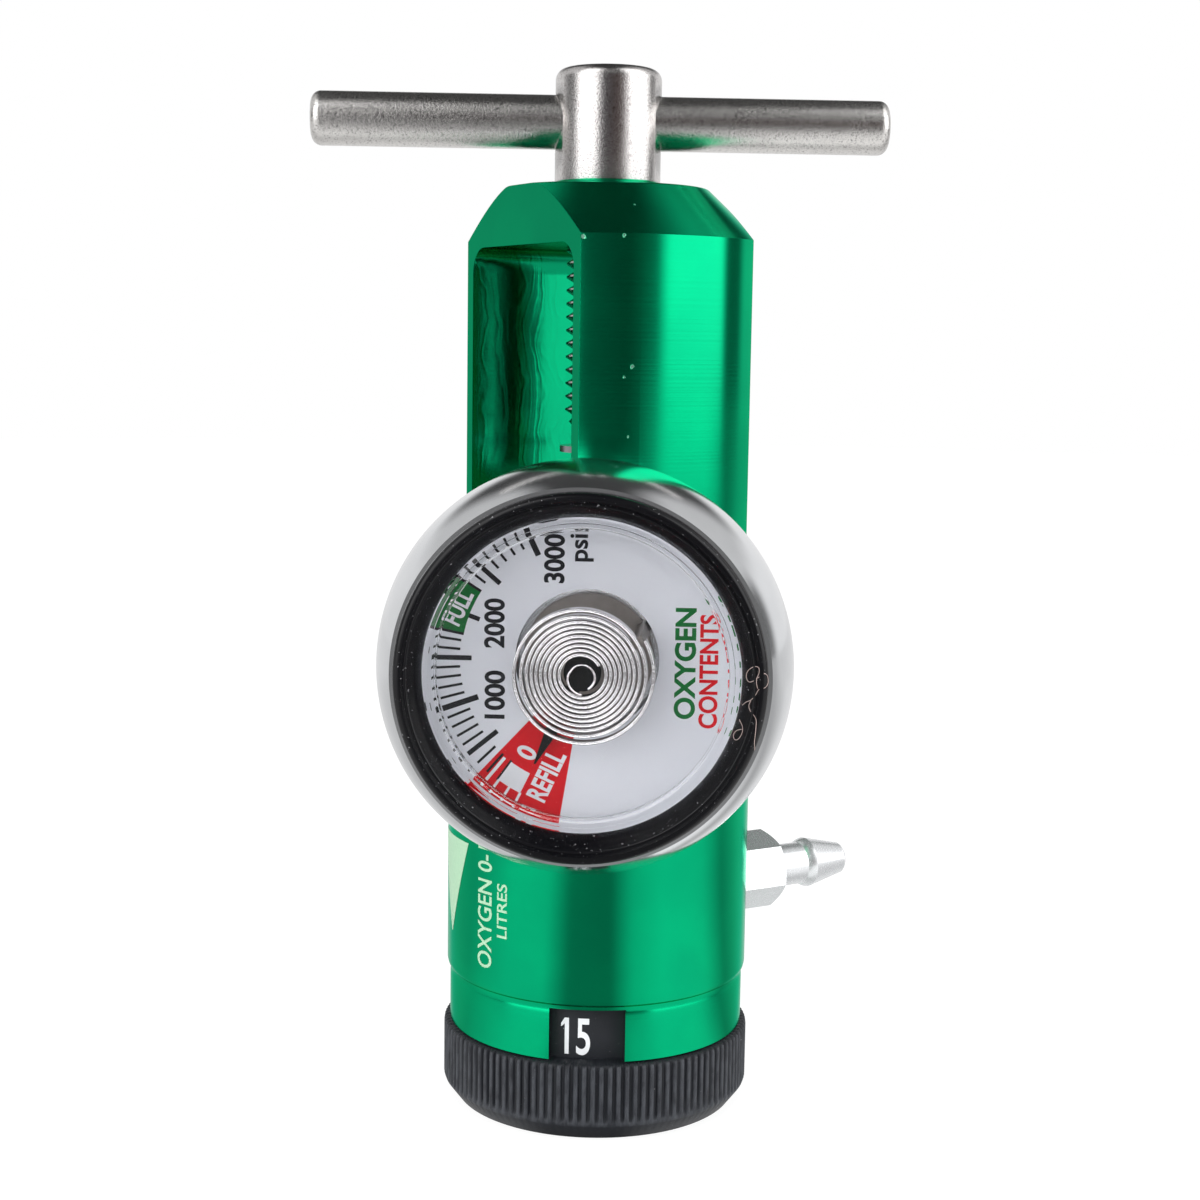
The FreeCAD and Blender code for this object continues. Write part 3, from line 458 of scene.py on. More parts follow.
anodise_green = (0.0, 0.500, 0.208, 1.0)
anodise_deep = (0.0, 0.430, 0.186, 1.0)
# Paler green for the bevelled edges: partly rubbed dye, partly a painted highlight.
anodise_edge_highlight = (0.04, 0.66, 0.36, 1.0)
# Dark green painted onto the flats and the window's walls as shade.
painted_shade_green = (0.0, 0.10, 0.045, 1.0)
bare_nick = (0.30, 0.62, 0.48, 1.0)
nick_on_cone = body_radius - 3.6
nicks = [(body_radius, -19.6, 91.3, 0.26), (body_radius, -22.3, 90.1, 0.18),
         (body_radius, -20.6, 83.4, 0.16), (body_radius, -37.1, 105.6, 0.30),
         (body_radius, -23.1, 105.8, 0.24), (nick_on_cone, -17.1, 109.5, 0.22)]
window_reach = 17.5


def anodised(here):
    """Fine feed marks run round the turned skin, and cutter marks wander down the window's walls; the walls
    and the flats are darkened with painted shade.
    """
    x = along(here, "X")
    y = along(here, "Y")
    z = along(here, "Z")
    above = z.between(floor_z - 0.3, floor_z)
    flat = y.math("ABSOLUTE", y).between(flat_distance - 0.07, flat_distance - 0.03) * above
    within = 1 - from_axis(here).between(window_reach, window_reach + 0.1)
    inside = above * within * (1 - z.between(ceiling_z - 0.3, ceiling_z - 0.2)) * (1 - flat)
    milled = flat.max(inside)
    cloud = noise(here, 0.10, 3.0)
    feed = stripes(z, 2.6, 3.0) * (1 - milled)
    drift = noise(here, 0.22, stretch=(1, 1, 0.6))
    wander = stripes(x * 0.8 + y * 0.8 + drift * 4.0, 1.5, 1.0) * inside
    satin = noise(here, 5.0) * milled
    dents = here.math("ADD", 0.0, 0.0)
    for radius, angle_deg, height, size in nicks:
        spot = around(radius, math.radians(angle_deg), height) * mm
        gap = here.measure("DISTANCE", tuple(spot)) / mm
        dents = dents.max((gap + noise(here, 2.5) * 0.5 - 0.25).between(size, size * 0.45))
    waves = bump(wander, 0.018, bump(feed, 0.0050))
    dye = cloud.between(0.3, 0.75).mix(anodise_deep, anodise_green)
    # Painted shade: the milled flats and the window's walls are mixed part way towards dark green, so they
    # come out darker than the turned skin.
    skin = (flat * 0.48 + inside * 0.45).mix(dye, painted_shade_green)
    return {"Base Color": dents.mix(skin, bare_nick),
            "Roughness": 0.17 + cloud * 0.05 + flat * 0.10 - inside * 0.03 + dents * 0.2,
            "Normal": bump(1 - dents, 0.05, bump(satin, 0.002, waves))}


def rubbed_edge_and_highlight(here):
    """Edges, where handling has rubbed the dye paler, and where the paler green also stands in for a
    painted highlight along the edge.
    """
    wear = noise(here, 1.4, 4.0, 0.6)
    return {"Base Color": wear.between(0.35, 0.65).mix(anodise_green, anodise_edge_highlight),
            "Roughness": 0.22 + wear * 0.14}


green_anodise = finish("green_anodise", anodised, Metallic=1.0, Coat_Weight=0.05, Coat_Roughness=0.15,
                       Specular_Tint=(0.25, 0.85, 0.65, 1), Anisotropic=0.62, Anisotropic_Rotation=0.25)
# The bevels get a paler green: partly rubbed dye, partly a painted highlight along the edges.
green_edge_highlight = finish("green_edge_highlight", rubbed_edge_and_highlight, Metallic=1.0, Specular_Tint=(0.4, 0.9, 0.7, 1))
body.data.materials.append(green_anodise)
body.data.materials.append(green_edge_highlight)
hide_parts("body")
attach(body, "regulator")


# Small parts in the yoke's floor and inside the body. The pins are stainless steel, the nipple and the
# other turned parts are brass, the filter is sintered bronze, and the seals are nylon and rubber.
def clouded(low, high, patches, rough, rise, grain=None, depth=0.0):
    """Recipe for a plain finish: its colour and roughness drift in patches, over a fine grain."""
    def recipe(here):
        cloud = noise(here, *patches)
        sockets = {"Base Color": cloud.mix(low, high), "Roughness": rough + cloud * rise}
        if grain:
            sockets["Normal"] = bump(noise(here, *grain), depth)
        return sockets
    return recipe


def turned_metal(darker, colour, mark_depth=0.004):
    """Recipe for plain turned metal with fine marks and a slightly uneven colour."""
    return clouded(darker, colour, (0.5, 4.0, 0.6), 0.22, 0.16, (9.0, 3.0), mark_depth)


def soft_material(colour, lighter, level):
    """Recipe for moulded rubber, nylon or plastic with a faint grain."""
    return clouded(colour, lighter, (0.8, 4.0, 0.6), level, 0.12, (14.0, 2.0), 0.008)


brass_dark = (0.66, 0.46, 0.18, 1)
brass_clean = (0.78, 0.57, 0.25, 1)
stainless = finish("stainless", turned_metal((0.56, 0.54, 0.51, 1), (0.66, 0.64, 0.61, 1)), Metallic=1.0)
spring_steel = finish("spring_steel", turned_metal((0.36, 0.36, 0.38, 1), (0.46, 0.46, 0.48, 1)),
                      Metallic=1.0)
brass = finish("brass", turned_metal(brass_dark, brass_clean), Metallic=1.0)
bronze = finish("sintered_bronze", turned_metal((0.30, 0.18, 0.09, 1), (0.50, 0.32, 0.16, 1), 0.05),
                Metallic=0.8)
nylon = finish("white_nylon", soft_material((0.78, 0.77, 0.73, 1), (0.86, 0.85, 0.82, 1), 0.42))
rubber = finish("black_seal", soft_material((0.012, 0.012, 0.012, 1), (0.03, 0.03, 0.03, 1), 0.45))


def paint_nodes(material, slot, *names):
    """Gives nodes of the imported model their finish."""
    for name in names:
        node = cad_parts[name]
        node.data.materials.clear()
        node.data.materials.append(material)


paint_nodes(stainless, "stainless", "index_pins", "selector_shaft", "knob_screw", "detent_ball")
paint_nodes(brass, "brass", "inlet_nipple", "nozzle", "piston", "selector_base", "orifice_plate")
paint_nodes(bronze, "sintered_bronze", "inlet_filter")
paint_nodes(nylon, "white_nylon", "inlet_washer", "piston_seat", "port_seal")
paint_nodes(rubber, "black_seal", "piston_oring", "stem_oring", "base_orings", "shaft_oring", "barb_oring")
paint_nodes(spring_steel, "spring_steel", "piston_spring", "base_clip", "detent_spring", "screw_clip")


# Flow selector knob: black moulded plastic with a ring of worn ribs, in one piece with the drum that
# carries the flow numbers behind the window in the body's rim.
knob_radius = 19.07
knob_height = 9.6
drum_radius = 16.5
rib_count = 116
rib_points = 8
rib_depth = 0.45
knob_rings = [
    (17.0, 0.0), (17.45, 0.18), (knob_radius - 0.12, 2.15), (knob_radius, 2.5), (knob_radius, 3.1),
    (knob_radius, 4.5), (knob_radius, 6.0), (knob_radius, 7.5), (knob_radius, 8.9),
    (knob_radius - 0.06, 9.35), (knob_radius - 0.35, knob_height), (drum_radius, knob_height),
    (drum_radius, 16.2), (16.3, 16.4), (14.6, 16.4), (14.6, 3.4), (11.05, 3.4), (11.05, 0.0)]
rib_levels = {3: 0.25, 4: 1.0, 5: 1.0, 6: 1.0, 7: 1.0, 8: 1.0, 9: 1.0, 10: 0.9}
knob_bm = bmesh.new()
ring = bmesh.ops.create_circle(knob_bm, cap_ends=False, segments=rib_count * rib_points,
                               radius=knob_rings[0][0])["verts"]
rings = [list(ring)]
edges = knob_bm.edges[:]
for radius, height in knob_rings[1:]:
    extruded = bmesh.ops.extrude_edge_only(knob_bm, edges=edges)["geom"]
    verts = [item for item in extruded if isinstance(item, bmesh.types.BMVert)]
    edges = [item for item in extruded if isinstance(item, bmesh.types.BMEdge)]
    for vert in verts:
        angle = math.atan2(vert.co.y, vert.co.x)
        vert.co = around(radius, angle, height)
    rings.append(verts)
bmesh.ops.bridge_loops(knob_bm, edges=[edge for edge in knob_bm.edges if edge.is_boundary])
wear = random.Random(7)
rib_wear = [wear.uniform(0.75, 1.0) for rib in range(rib_count)]
for level, share in rib_levels.items():
    for vert in rings[level]:
        angle = math.atan2(vert.co.y, vert.co.x) % (2 * math.pi)
        turn = angle / (2 * math.pi) * rib_count
        across = abs((turn % 1.0) - 0.5) * 2
        groove = max(0.0, min(1.0, (across - 0.42) / 0.34)) ** 0.8
        radius = math.hypot(vert.co.x, vert.co.y)
        radius -= rib_depth * share * groove * rib_wear[int(turn) % rib_count]
        vert.co = around(radius, angle, vert.co.z)
bmesh.ops.recalc_face_normals(knob_bm, faces=knob_bm.faces)
knob = piece("selector_knob", knob_bm, smooth_deg=50)


def charcoal(here):
    """Charcoal plastic, lighter and rougher where hands wear it, with a few pale specks of dust."""
    cloud = noise(here, 0.35, 5.0, 0.65)
    grain = noise(here, 7.0, 3.0, 0.6)
    specks = noise(here, 3.2).between(0.74, 0.80)
    plastic = cloud.mix((0.008, 0.009, 0.012, 1), (0.017, 0.019, 0.024, 1))
    handled = noise(here, 1.1, 3.0, 0.6, (1, 1, 0.35)).between(0.2, 0.7)
    tips = from_axis(here).between(knob_radius - 0.27, knob_radius - 0.01) * handled
    worn = tips.mix(plastic, (0.055, 0.059, 0.069, 1))
    return {"Base Color": specks.mix(worn, (0.22, 0.22, 0.23, 1)), "Roughness": 0.46 + cloud * 0.16,
            "Normal": bump(grain, 0.02)}


knob_black = finish("knob_black", charcoal, Specular_IOR_Level=0.35)
knob.data.materials.append(knob_black)
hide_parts("knob")
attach(knob, "selector")
paint_nodes(knob_black, "knob_black", "knob_cap")


# Flow numbers: pad printed in white on the knob's drum, one for each place of the knob. The 15 stands in
# the window of the body's rim.
def bmesh_of(name, curve, merge):
    """Bmesh of a text or a wire, with points closer than this merged."""
    holder = in_scene(name, curve)
    mesh = settled(holder)
    bpy.data.objects.remove(holder)
    bm = bmesh.new()
    bm.from_mesh(mesh)
    bmesh.ops.remove_doubles(bm, verts=bm.verts, dist=merge)
    return bm


def extent(bm):
    """Lowest and highest corner of a flat bmesh."""
    return [Vector((pick(v.co.x for v in bm.verts), pick(v.co.y for v in bm.verts), 0))
            for pick in (min, max)]


def lettering(name, text, height, bold, length=None, lift=0.0, segment=0.6, turn_deg=0.0):
    """Text as a bmesh in millimetres, centred on the Z axis at this lift, cut into short edges."""
    curve = bpy.data.curves.new(name, "FONT")
    curve.body = text
    curve.align_x = "CENTER"
    curve.align_y = "CENTER"
    curve.offset = bold
    curve.size = 1.0
    bm = bmesh_of(name, curve, 0.0001)
    low, high = extent(bm)
    bmesh.ops.translate(bm, vec=-(low + high) / 2, verts=bm.verts)
    grow = height / (high.y - low.y)
    bmesh.ops.scale(bm, vec=(grow, grow, 1), verts=bm.verts)
    for again in range(3):
        long = [edge for edge in bm.edges if edge.calc_length() > segment]
        if long:
            bmesh.ops.subdivide_edges(bm, edges=long, cuts=1)
    bmesh.ops.triangulate(bm, faces=bm.faces)
    if length:
        low, high = extent(bm)
        bmesh.ops.scale(bm, vec=(length / (high.x - low.x), 1, 1), verts=bm.verts)
    turn = Matrix.Rotation(math.radians(turn_deg), 3, "Z")
    bmesh.ops.rotate(bm, cent=(0, 0, 0), matrix=turn, verts=bm.verts)
    for vert in bm.verts:
        vert.co.z = lift
    return bm


def wrapped(bm, radius, centre_angle, centre_height):
    """Bends a flat bmesh round the Z axis; its +X goes to the reader's right, +Y goes up."""
    for vert in bm.verts:
        angle = centre_angle + vert.co.x / radius
        vert.co = around(radius + vert.co.z, angle, centre_height + vert.co.y)


def joined(target, bm):
    """Adds one bmesh to another."""
    scratch = bpy.data.meshes.new("scratch")
    bm.to_mesh(scratch)
    bm.free()
    target.from_mesh(scratch)


flows = ["15", "0", "1/2", "1", "2", "3", "4", "5", "6", "8", "10", "12"]
number_height = 4.5
number_z = 12.25
number_narrow = 0.64
number_lift = 0.02
first_number = math.radians(-36.2)
flag_out = 0.45
flag_foot = 0.08
flag_drops = (0.70, 1.12, 0.66)
numbers_bm = bmesh.new()
for place, flow in enumerate(flows):
    one = lettering("number", flow, number_height, 0.014, lift=number_lift)
    bmesh.ops.scale(one, vec=(number_narrow, 0.8 if "/" in flow else 1, 1), verts=one.verts)
    if flow.startswith("1"):
        stem, top = extent(one)[0].x, extent(one)[1].y
        corners = ((stem, top), (stem - flag_out, top - flag_drops[0]),
                   (stem - flag_out, top - flag_drops[1]), (stem + flag_foot, top - flag_drops[2]))
        one.faces.new([one.verts.new((x, y, number_lift)) for x, y in corners])
    wrapped(one, drum_radius, first_number - 2 * math.pi * place / len(flows), number_z)
    joined(numbers_bm, one)
numbers = piece("flow_numbers", numbers_bm)
white_print = clouded((0.72, 0.74, 0.77, 1), (0.86, 0.87, 0.89, 1), (2.0, 4.0), 0.38, 0.1)
number_white = finish("number_white", white_print)
numbers.data.materials.append(number_white)
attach(numbers, "selector")


# Gauge case: deep-drawn steel, chrome plated, with a bulged side and a flat back. It sits on the flange
# of a brass stem that is screwed into the body.
case_back = 23.9
case_front = 40.5
case_waist = 22.4
case_back_radius = 20.0
case_front_radius = 19.9
case_bend = 2.6


def through(first, middle, last, count):
    """Points of the arc through three (radius, height) points."""
    a, b, c = complex(*first), complex(*middle), complex(*last)
    ratio = (c - a) / (b - a)
    centre = a + (b - a) * (ratio - abs(ratio) ** 2) / (2j * ratio.imag)
    start, end = (math.degrees(cmath.phase(point - centre)) for point in (a, c))
    return arc((centre.real, centre.imag), abs(a - centre), start, end, count)


case_outline = ([(4.3, case_back), (case_back_radius, case_back)]
                + through((case_back_radius, case_back), (case_waist, case_back + 9.0),
                          (case_front_radius, case_front), 28)[1:]
                + [(18.6, case_front), (18.6, case_back + 3.6), (16.8, case_back + 3.6),
                   (16.8, case_back + 1.0), (4.3, case_back + 1.0)])
case_bm = spun(case_outline)
back_edge = [edge for edge in case_bm.edges if all(abs(v.co.z - case_back) < 1e-4
             and abs(math.hypot(v.co.x, v.co.y) - case_back_radius) < 1e-3 for v in edge.verts)]
round_edges(case_bm, back_edge, case_bend, 10)
case = piece("gauge_shell", case_bm, gauge_place)


def plated(low, high, patch, rough, rise, depth):
    """Recipe for chrome plate over metal whose fine marks soften what it reflects."""
    def recipe(here):
        fine = noise(here, 6.0, 4.0, 0.7)
        return {"Base Color": noise(here, patch, 3.0).mix(low, high), "Roughness": rough + fine * rise,
                "Normal": bump(fine, depth)}
    return recipe


chrome = plated((0.74, 0.75, 0.77, 1), (0.84, 0.85, 0.87, 1), 0.25, 0.10, 0.10, 0.002)
chrome_plate = finish("chrome_plate", chrome, Metallic=1.0)
case.data.materials.append(chrome_plate)
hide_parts("gauge_case")
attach(case, "regulator")


def stem_brass(here):
    """Brass, rougher inside the gauge, where it is painted a darker grey-brown as shade."""
    inside_gauge = (here.measure("DOT_PRODUCT", tuple(gauge_out)) / mm).between(24.6, 25.0)
    cloud = noise(here, 0.8, 4.0, 0.6)
    clean = cloud.mix(brass_dark, brass_clean)
    # Painted shade: inside the gauge the brass is mixed to a dark grey-brown, so the hole in the dial reads
    # dark.
    painted_shade_brass = cloud.mix((0.20, 0.175, 0.16, 1), (0.31, 0.285, 0.265, 1))
    return {"Base Color": inside_gauge.mix(clean, painted_shade_brass), "Roughness": 0.24 + cloud * 0.14 + inside_gauge * 0.2,
            "Normal": bump(noise(here, 9.0, 3.0), 0.004)}


paint_nodes(finish("gauge_brass", stem_brass, Metallic=1.0), "brass", "gauge_stem")


# Dial: a printed metal plate with a round hole for the coil. Its scale runs from lower left over the
# left side to the top, and its words read upwards. The inks are screen printed, one colour at a time.
dial_front = 27.9
dial_hole = 7.65
dial_radius = 18.5
dial_bm = spun([(dial_hole, dial_front - 0.4), (dial_radius, dial_front - 0.4), (dial_radius, dial_front),
                (dial_hole, dial_front)])
dial = piece("dial_plate", dial_bm, gauge_place)
dial_paint = clouded((0.86, 0.87, 0.92, 1), (0.91, 0.92, 0.96, 1), (0.3, 3.0), 0.42, 0.1)
dial_face = finish("dial_face", dial_paint, Specular_IOR_Level=0.2)
dial.data.materials.append(dial_face)
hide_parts("gauge_dial")
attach(dial, "regulator")
ground_lift = 0.02
ink_lift = 0.03
line_lift = 0.035
top_lift = 0.04


def ink(name, colour, patchy):
    """Printed ink, slightly uneven."""
    return finish(name, clouded(colour, patchy, (2.5, 4.0), 0.40, 0.12), Specular_IOR_Level=0.1)


black_ink = ink("black_ink", (0.004, 0.004, 0.006, 1), (0.012, 0.012, 0.017, 1))
red_ink = ink("red_ink", (0.72, 0.000, 0.006, 1), (0.84, 0.004, 0.014, 1))
green_ink = ink("green_ink", (0.0, 0.14, 0.022, 1), (0.0, 0.19, 0.034, 1))
white_ink = ink("white_ink", (0.88, 0.88, 0.91, 1), (0.94, 0.94, 0.96, 1))


def on_dial(radius, angle_deg, lift=0.0):
    """Point over the dial's plane; the angle is counted from the top towards the left."""
    return around(radius, math.radians(angle_deg), lift)


def sector(bm, inner, outer, start_deg, end_deg, lift):
    """Part of a ring between two angles."""
    first = bm.verts.new(on_dial(inner, start_deg, lift))
    second = bm.verts.new(on_dial(outer, start_deg, lift))
    edge = bm.edges.new((first, second))
    steps = max(1, int(abs(end_deg - start_deg) / 2))
    bmesh.ops.spin(bm, geom=[first, second, edge], cent=(0, 0, 0), axis=(0, 0, 1),
                   angle=math.radians(end_deg - start_deg), steps=steps, use_merge=False)


def tick(bm, inner, outer, angle_deg, width, lift=ink_lift):
    """Short straight line along a radius."""
    out = on_dial(1.0, angle_deg)
    across = on_dial(width / 2, angle_deg + 90)
    corners = [out * inner - across, out * outer - across, out * outer + across, out * inner + across]
    bm.faces.new([bm.verts.new(corner + Vector((0, 0, lift))) for corner in corners])


def word(bm, text, centre, height, length, bold=0.030, turn_deg=0.0, lift=ink_lift):
    """Adds a word at (right, up) of the dial's centre. With no turn it reads upwards."""
    flat = lettering("word", text, height, bold, length, segment=5.0, turn_deg=turn_deg)
    bmesh.ops.translate(flat, vec=(centre[1], -centre[0], lift), verts=flat.verts)
    joined(bm, flat)


def printed(name, bm, material):
    """Lays flat print on the dial, face up."""
    bmesh.ops.translate(bm, vec=(0, 0, dial_front), verts=bm.verts)
    bmesh.ops.recalc_face_normals(bm, faces=bm.faces)
    for face in bm.faces:
        if face.normal.z < 0:
            face.normal_flip()
    made = piece(name, bm, gauge_place)
    made.data.materials.append(material)
    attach(made, "regulator")


scale_marks = [(0, 154.0), (500, 129.5), (1000, 109.8), (1500, 90.0), (2000, 70.1), (2500, 49.3),
               (3000, 25.5)]


def scale_angle(pressure):
    """Angle of a pressure on the dial's scale, in degrees from the top towards the left."""
    for (low, low_deg), (high, high_deg) in zip(scale_marks, scale_marks[1:]):
        if low <= pressure <= high:
            return low_deg + (high_deg - low_deg) * (pressure - low) / (high - low)


green_start = 57.7
green_end = 79.0
band_outer = 17.8
thin_tick = 0.28
black_bm = bmesh.new()
for pressure in range(200, 3001, 100):
    angle_deg = scale_angle(pressure)
    if pressure == 2000:
        tick(black_bm, 12.2, 13.4, angle_deg, 0.5, line_lift)
    elif pressure % 500 == 0:
        tick(black_bm, 12.3, 16.34, angle_deg, 0.52 if pressure % 1000 else 0.62)
    elif not green_start - 0.5 < angle_deg < green_end + 0.5:
        tick(black_bm, 13.55, 16.2, angle_deg, 0.27)
for angle_deg in (green_start, green_end):
    tick(black_bm, 13.4, 17.2, angle_deg, thin_tick, line_lift)
word(black_bm, "1000", (-9.8, -3.9), 2.2, 5.2)
word(black_bm, "2000", (-9.9, 3.78), 2.2, 5.3)
word(black_bm, "3000", (-3.6, 10.8), 2.2, 5.2)
word(black_bm, "psi", (-0.7, 12.0), 2.5, 2.9, 0.022)
printed("dial_black", black_bm, black_ink)
red_bm = bmesh.new()
sector(red_bm, 7.7, band_outer, 137.3, 171.0, ground_lift)
word(red_bm, "CONTENTS", (12.9, -0.9), 2.0, 12.2, 0.027)
printed("dial_red", red_bm, red_ink)
green_bm = bmesh.new()
sector(green_bm, 13.4, band_outer, green_start, green_end, ground_lift)
word(green_bm, "OXYGEN", (10.4, -0.1), 2.27, 11.9, 0.031)
printed("dial_green", green_bm, green_ink)
white_bm = bmesh.new()
sector(white_bm, 13.7, 16.1, 144.5, 154.3, top_lift)
for angle_deg in (144.8, 149.6, 154.3):
    tick(white_bm, 16.05, 17.1, angle_deg, thin_tick, top_lift)
tick(white_bm, 13.75, 16.9, 141.0, 0.35, top_lift)
for text, centre, height, length, turn_deg in (("REFILL", (-4.18, -12.52), 2.2, 5.7, -24.5),
                                               ("FULL", (-13.72, 5.42), 1.95, 3.8, -25.0),
                                               ("0", (-6.3, -10.1), 2.2, 1.3, -26.0)):
    word(white_bm, text, centre, height, length, turn_deg=turn_deg, lift=top_lift)
printed("dial_white", white_bm, white_ink)


# Spiral tube that drives the pointer: stainless tube, flattened and wound in ten turns, with its inner end
# hooked on the arbor. The black needle stands on the same arbor. Both are behind the lens.
def closed_up(bm):
    """Fills the open ends of a bmesh and turns its faces outwards."""
    bmesh.ops.holes_fill(bm, edges=[edge for edge in bm.edges if edge.is_boundary], sides=0)
    bmesh.ops.recalc_face_normals(bm, faces=bm.faces)


coil_front = 37.5
coil_height = 1.4
coil_thickness = 0.36
coil_corner = 0.11
coil_inner = 2.10
coil_pitches = [0.49] * 14 + [0.53, 0.57, 0.62, 0.70, 0.78, 0.84]
coil_start = math.radians(-60.0)
corner_side = coil_thickness / 2 - coil_corner
coil_hollow = 0.035
tube_outline = (arc((corner_side, coil_front - coil_corner), coil_corner, 0, 90, 4)
                + [(0, coil_front - coil_hollow)]
                + arc((-corner_side, coil_front - coil_corner), coil_corner, 90, 180, 4)
                + [(side * coil_thickness / 2, coil_front - coil_height) for side in (-1, 1)])
coil_bm = bmesh.new()
coil_along = around(1, coil_start)
coil_verts = [coil_bm.verts.new(coil_along * (coil_inner + side) + Vector((0, 0, height)))
              for side, height in tube_outline]
coil_edges = [coil_bm.edges.new(pair) for pair in zip(coil_verts, coil_verts[1:] + coil_verts[:1])]
coil_bm.faces.new(coil_verts)
strand = coil_verts + coil_edges
for half_turn, pitch in enumerate(coil_pitches):
    centre = coil_along * (pitch / 4 * (1 if half_turn % 2 else -1))
    strand = bmesh.ops.spin(coil_bm, geom=strand, cent=centre, axis=(0, 0, 1), angle=math.pi, steps=40,
                            use_merge=False)["geom_last"]
closed_up(coil_bm)
coil = piece("spiral_tube", coil_bm, gauge_place, smooth_deg=60)

# The drawn tube is bright, with a little grease and dust between its turns.
drawn_tube = clouded((0.62, 0.585, 0.58, 1), (0.86, 0.84, 0.84, 1), (0.6, 3.0), 0.13, 0.16,
                     (2.2, 3.0, 0.6), 0.018)
coil_steel = finish("coil_steel", drawn_tube, Metallic=1.0)
coil.data.materials.append(coil_steel)
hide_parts("bourdon_tube")
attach(coil, "regulator")


def thin_wire(name, points, radius, place):
    """Round wire or fibre through points in millimetres."""
    curve = bpy.data.curves.new(name, "CURVE")
    curve.dimensions = "3D"
    curve.bevel_depth = radius
    curve.bevel_resolution = 2
    curve.use_fill_caps = True
    line = curve.splines.new("POLY")
    line.points.add(len(points) - 1)
    for spot, point in zip(line.points, points):
        spot.co = (*point, 1.0)
    bm = bmesh_of(name, curve, 0.001)
    bmesh.ops.recalc_face_normals(bm, faces=bm.faces)
    return piece(name, bm, place, smooth_deg=60)


hook_radius = 1.36
hook_spread = 0.42
hook_low = 0.38
hook_wire = 0.13


def hook_point(angle_deg):
    """Point of the hook inside the coil, which opens wider over its last third."""
    opened = max(0.0, (angle_deg - 60) / 120)
    lift = 36.6 if angle_deg < 60 else 36.7
    return on_dial(hook_radius + hook_spread * opened, angle_deg, lift) - Vector((hook_low, 0, 0))


hook_line = [hook_point(angle_deg) for angle_deg in range(-150, 190, 10)]
hook = thin_wire("spiral_hook", hook_line, hook_wire, gauge_place)
hook.data.materials.append(coil_steel)
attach(hook, "regulator")
# Painted shade: a black disc on the arbor fills the middle of the coil, so that it reads as a dark hole.
shadow_disc_radius = 1.98
shadow_disc_low = 35.45
shadow_disc_high = 35.75
shadow_disc_bm = spun([(0, shadow_disc_low), (shadow_disc_radius, shadow_disc_low), (shadow_disc_radius, shadow_disc_high), (0, shadow_disc_high)], steps=64,
              closed=False)
arbor_shadow_disc = piece("arbor_shadow_disc", shadow_disc_bm, gauge_place)
dull_black = soft_material((0.002, 0.002, 0.002, 1), (0.006, 0.006, 0.007, 1), 0.55)
needle_black = finish("needle_black", dull_black, Specular_IOR_Level=0.12)
paint_nodes(needle_black, "pointer_black", "gauge_pointer")
arbor_shadow_disc.data.materials.append(needle_black)
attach(arbor_shadow_disc, "pointer")


# Lens: clear moulded plastic, a flat window with a finely stepped edge over a flange. The black ring
# that is pressed into the case holds it by the flange.
lens_front = 39.3
lens_back = 37.9
lens_flat = 15.3
lens_edge = 16.7
lens_flange = 18.3
lens_outline = [
    (0, lens_back), (lens_flat, lens_back), (lens_flat, 36.5), (lens_flange, 36.5), (lens_flange, 37.7),
    (lens_edge, 37.7), (lens_edge, 38.80), (16.55, 38.98), (16.25, 39.05), (16.12, 39.07), (16.04, 39.15),
    (15.75, 39.18), (15.46, 39.20), (15.36, 39.28), (lens_flat - 0.05, lens_front), (0, lens_front)]
lens = piece("lens", spun(lens_outline, closed=False), gauge_place)


def clear_plastic(here):
    """Clear plastic that lets nearly all light through to the dial."""
    cloud = noise(here, 0.4, 3.0)
    shadow_ray, = light_path(here.tree, "Is Shadow Ray")
    return {"Roughness": cloud * 0.02, "Alpha": 1 - shadow_ray * 0.88}


clear_lens = finish("clear_lens", clear_plastic, Base_Color=(0.97, 0.98, 1.0, 1),
                    Transmission_Weight=1.0, IOR=1.49)
lens.data.materials.append(clear_lens)
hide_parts("gauge_lens")
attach(lens, "regulator")


# Black ring: glossy moulded plastic, pressed into the case over the lens. Its front is a low crown with
# a fine groove, and dust lies on it.
bezel_outline = [
    (16.8, 37.75), (18.55, 37.75), (18.55, 40.5), (19.45, 40.5), (19.45, 41.15), (19.36, 41.5),
    (19.15, 41.76), (18.85, 41.88), (18.55, 41.85), (18.42, 41.62), (18.28, 41.42), (18.12, 41.48),
    (17.98, 41.42), (17.88, 41.1), (17.55, 40.75), (16.8, 39.4)]
front_points = 12
bezel = piece("bezel_ring", spun(bezel_outline), gauge_place, smooth_deg=50)


def bezel_plastic(here):
    """Glossy black plastic with specks of pale dust."""
    cloud = noise(here, 0.3, 4.0)
    grain = noise(here, 5.0, 3.0, 0.6)
    dust = noise(here, 2.9, 3.0, 0.6).between(0.665, 0.72)
    return {"Base Color": dust.mix((0.003, 0.003, 0.004, 1), (0.22, 0.22, 0.23, 1)),
            "Roughness": 0.15 + cloud * 0.14, "Normal": bump(grain, 0.004)}


bezel_black = finish("bezel_black", bezel_plastic, Specular_IOR_Level=0.30)
bezel.data.materials.append(bezel_black)
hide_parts("gauge_bezel")
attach(bezel, "regulator")


# Lint: one curled textile fibre and two short ones, which cling to the front of the black ring. Each is
# a thin wire through points given to the right of the gauge's middle and above it.
def rounded_line(points):
    """Corners of a line cut off twice, so that it runs smoothly."""
    for again in range(2):
        points = [points[0]] + [first.lerp(second, share) for first, second in zip(points, points[1:])
                                for share in (0.25, 0.75)] + [points[-1]]
    return points


def on_bezel(right, up):
    """Point just above the ring's front face."""
    reach = math.hypot(right, up)
    front = bezel_outline[:-front_points - 1:-1]
    height = front[0][1]
    for (inner, low), (outer, high) in zip(front, front[1:]):
        if inner <= reach:
            height = low + (high - low) * min(1.0, (reach - inner) / (outer - inner))
    return Vector((up, -right, height + 0.06))


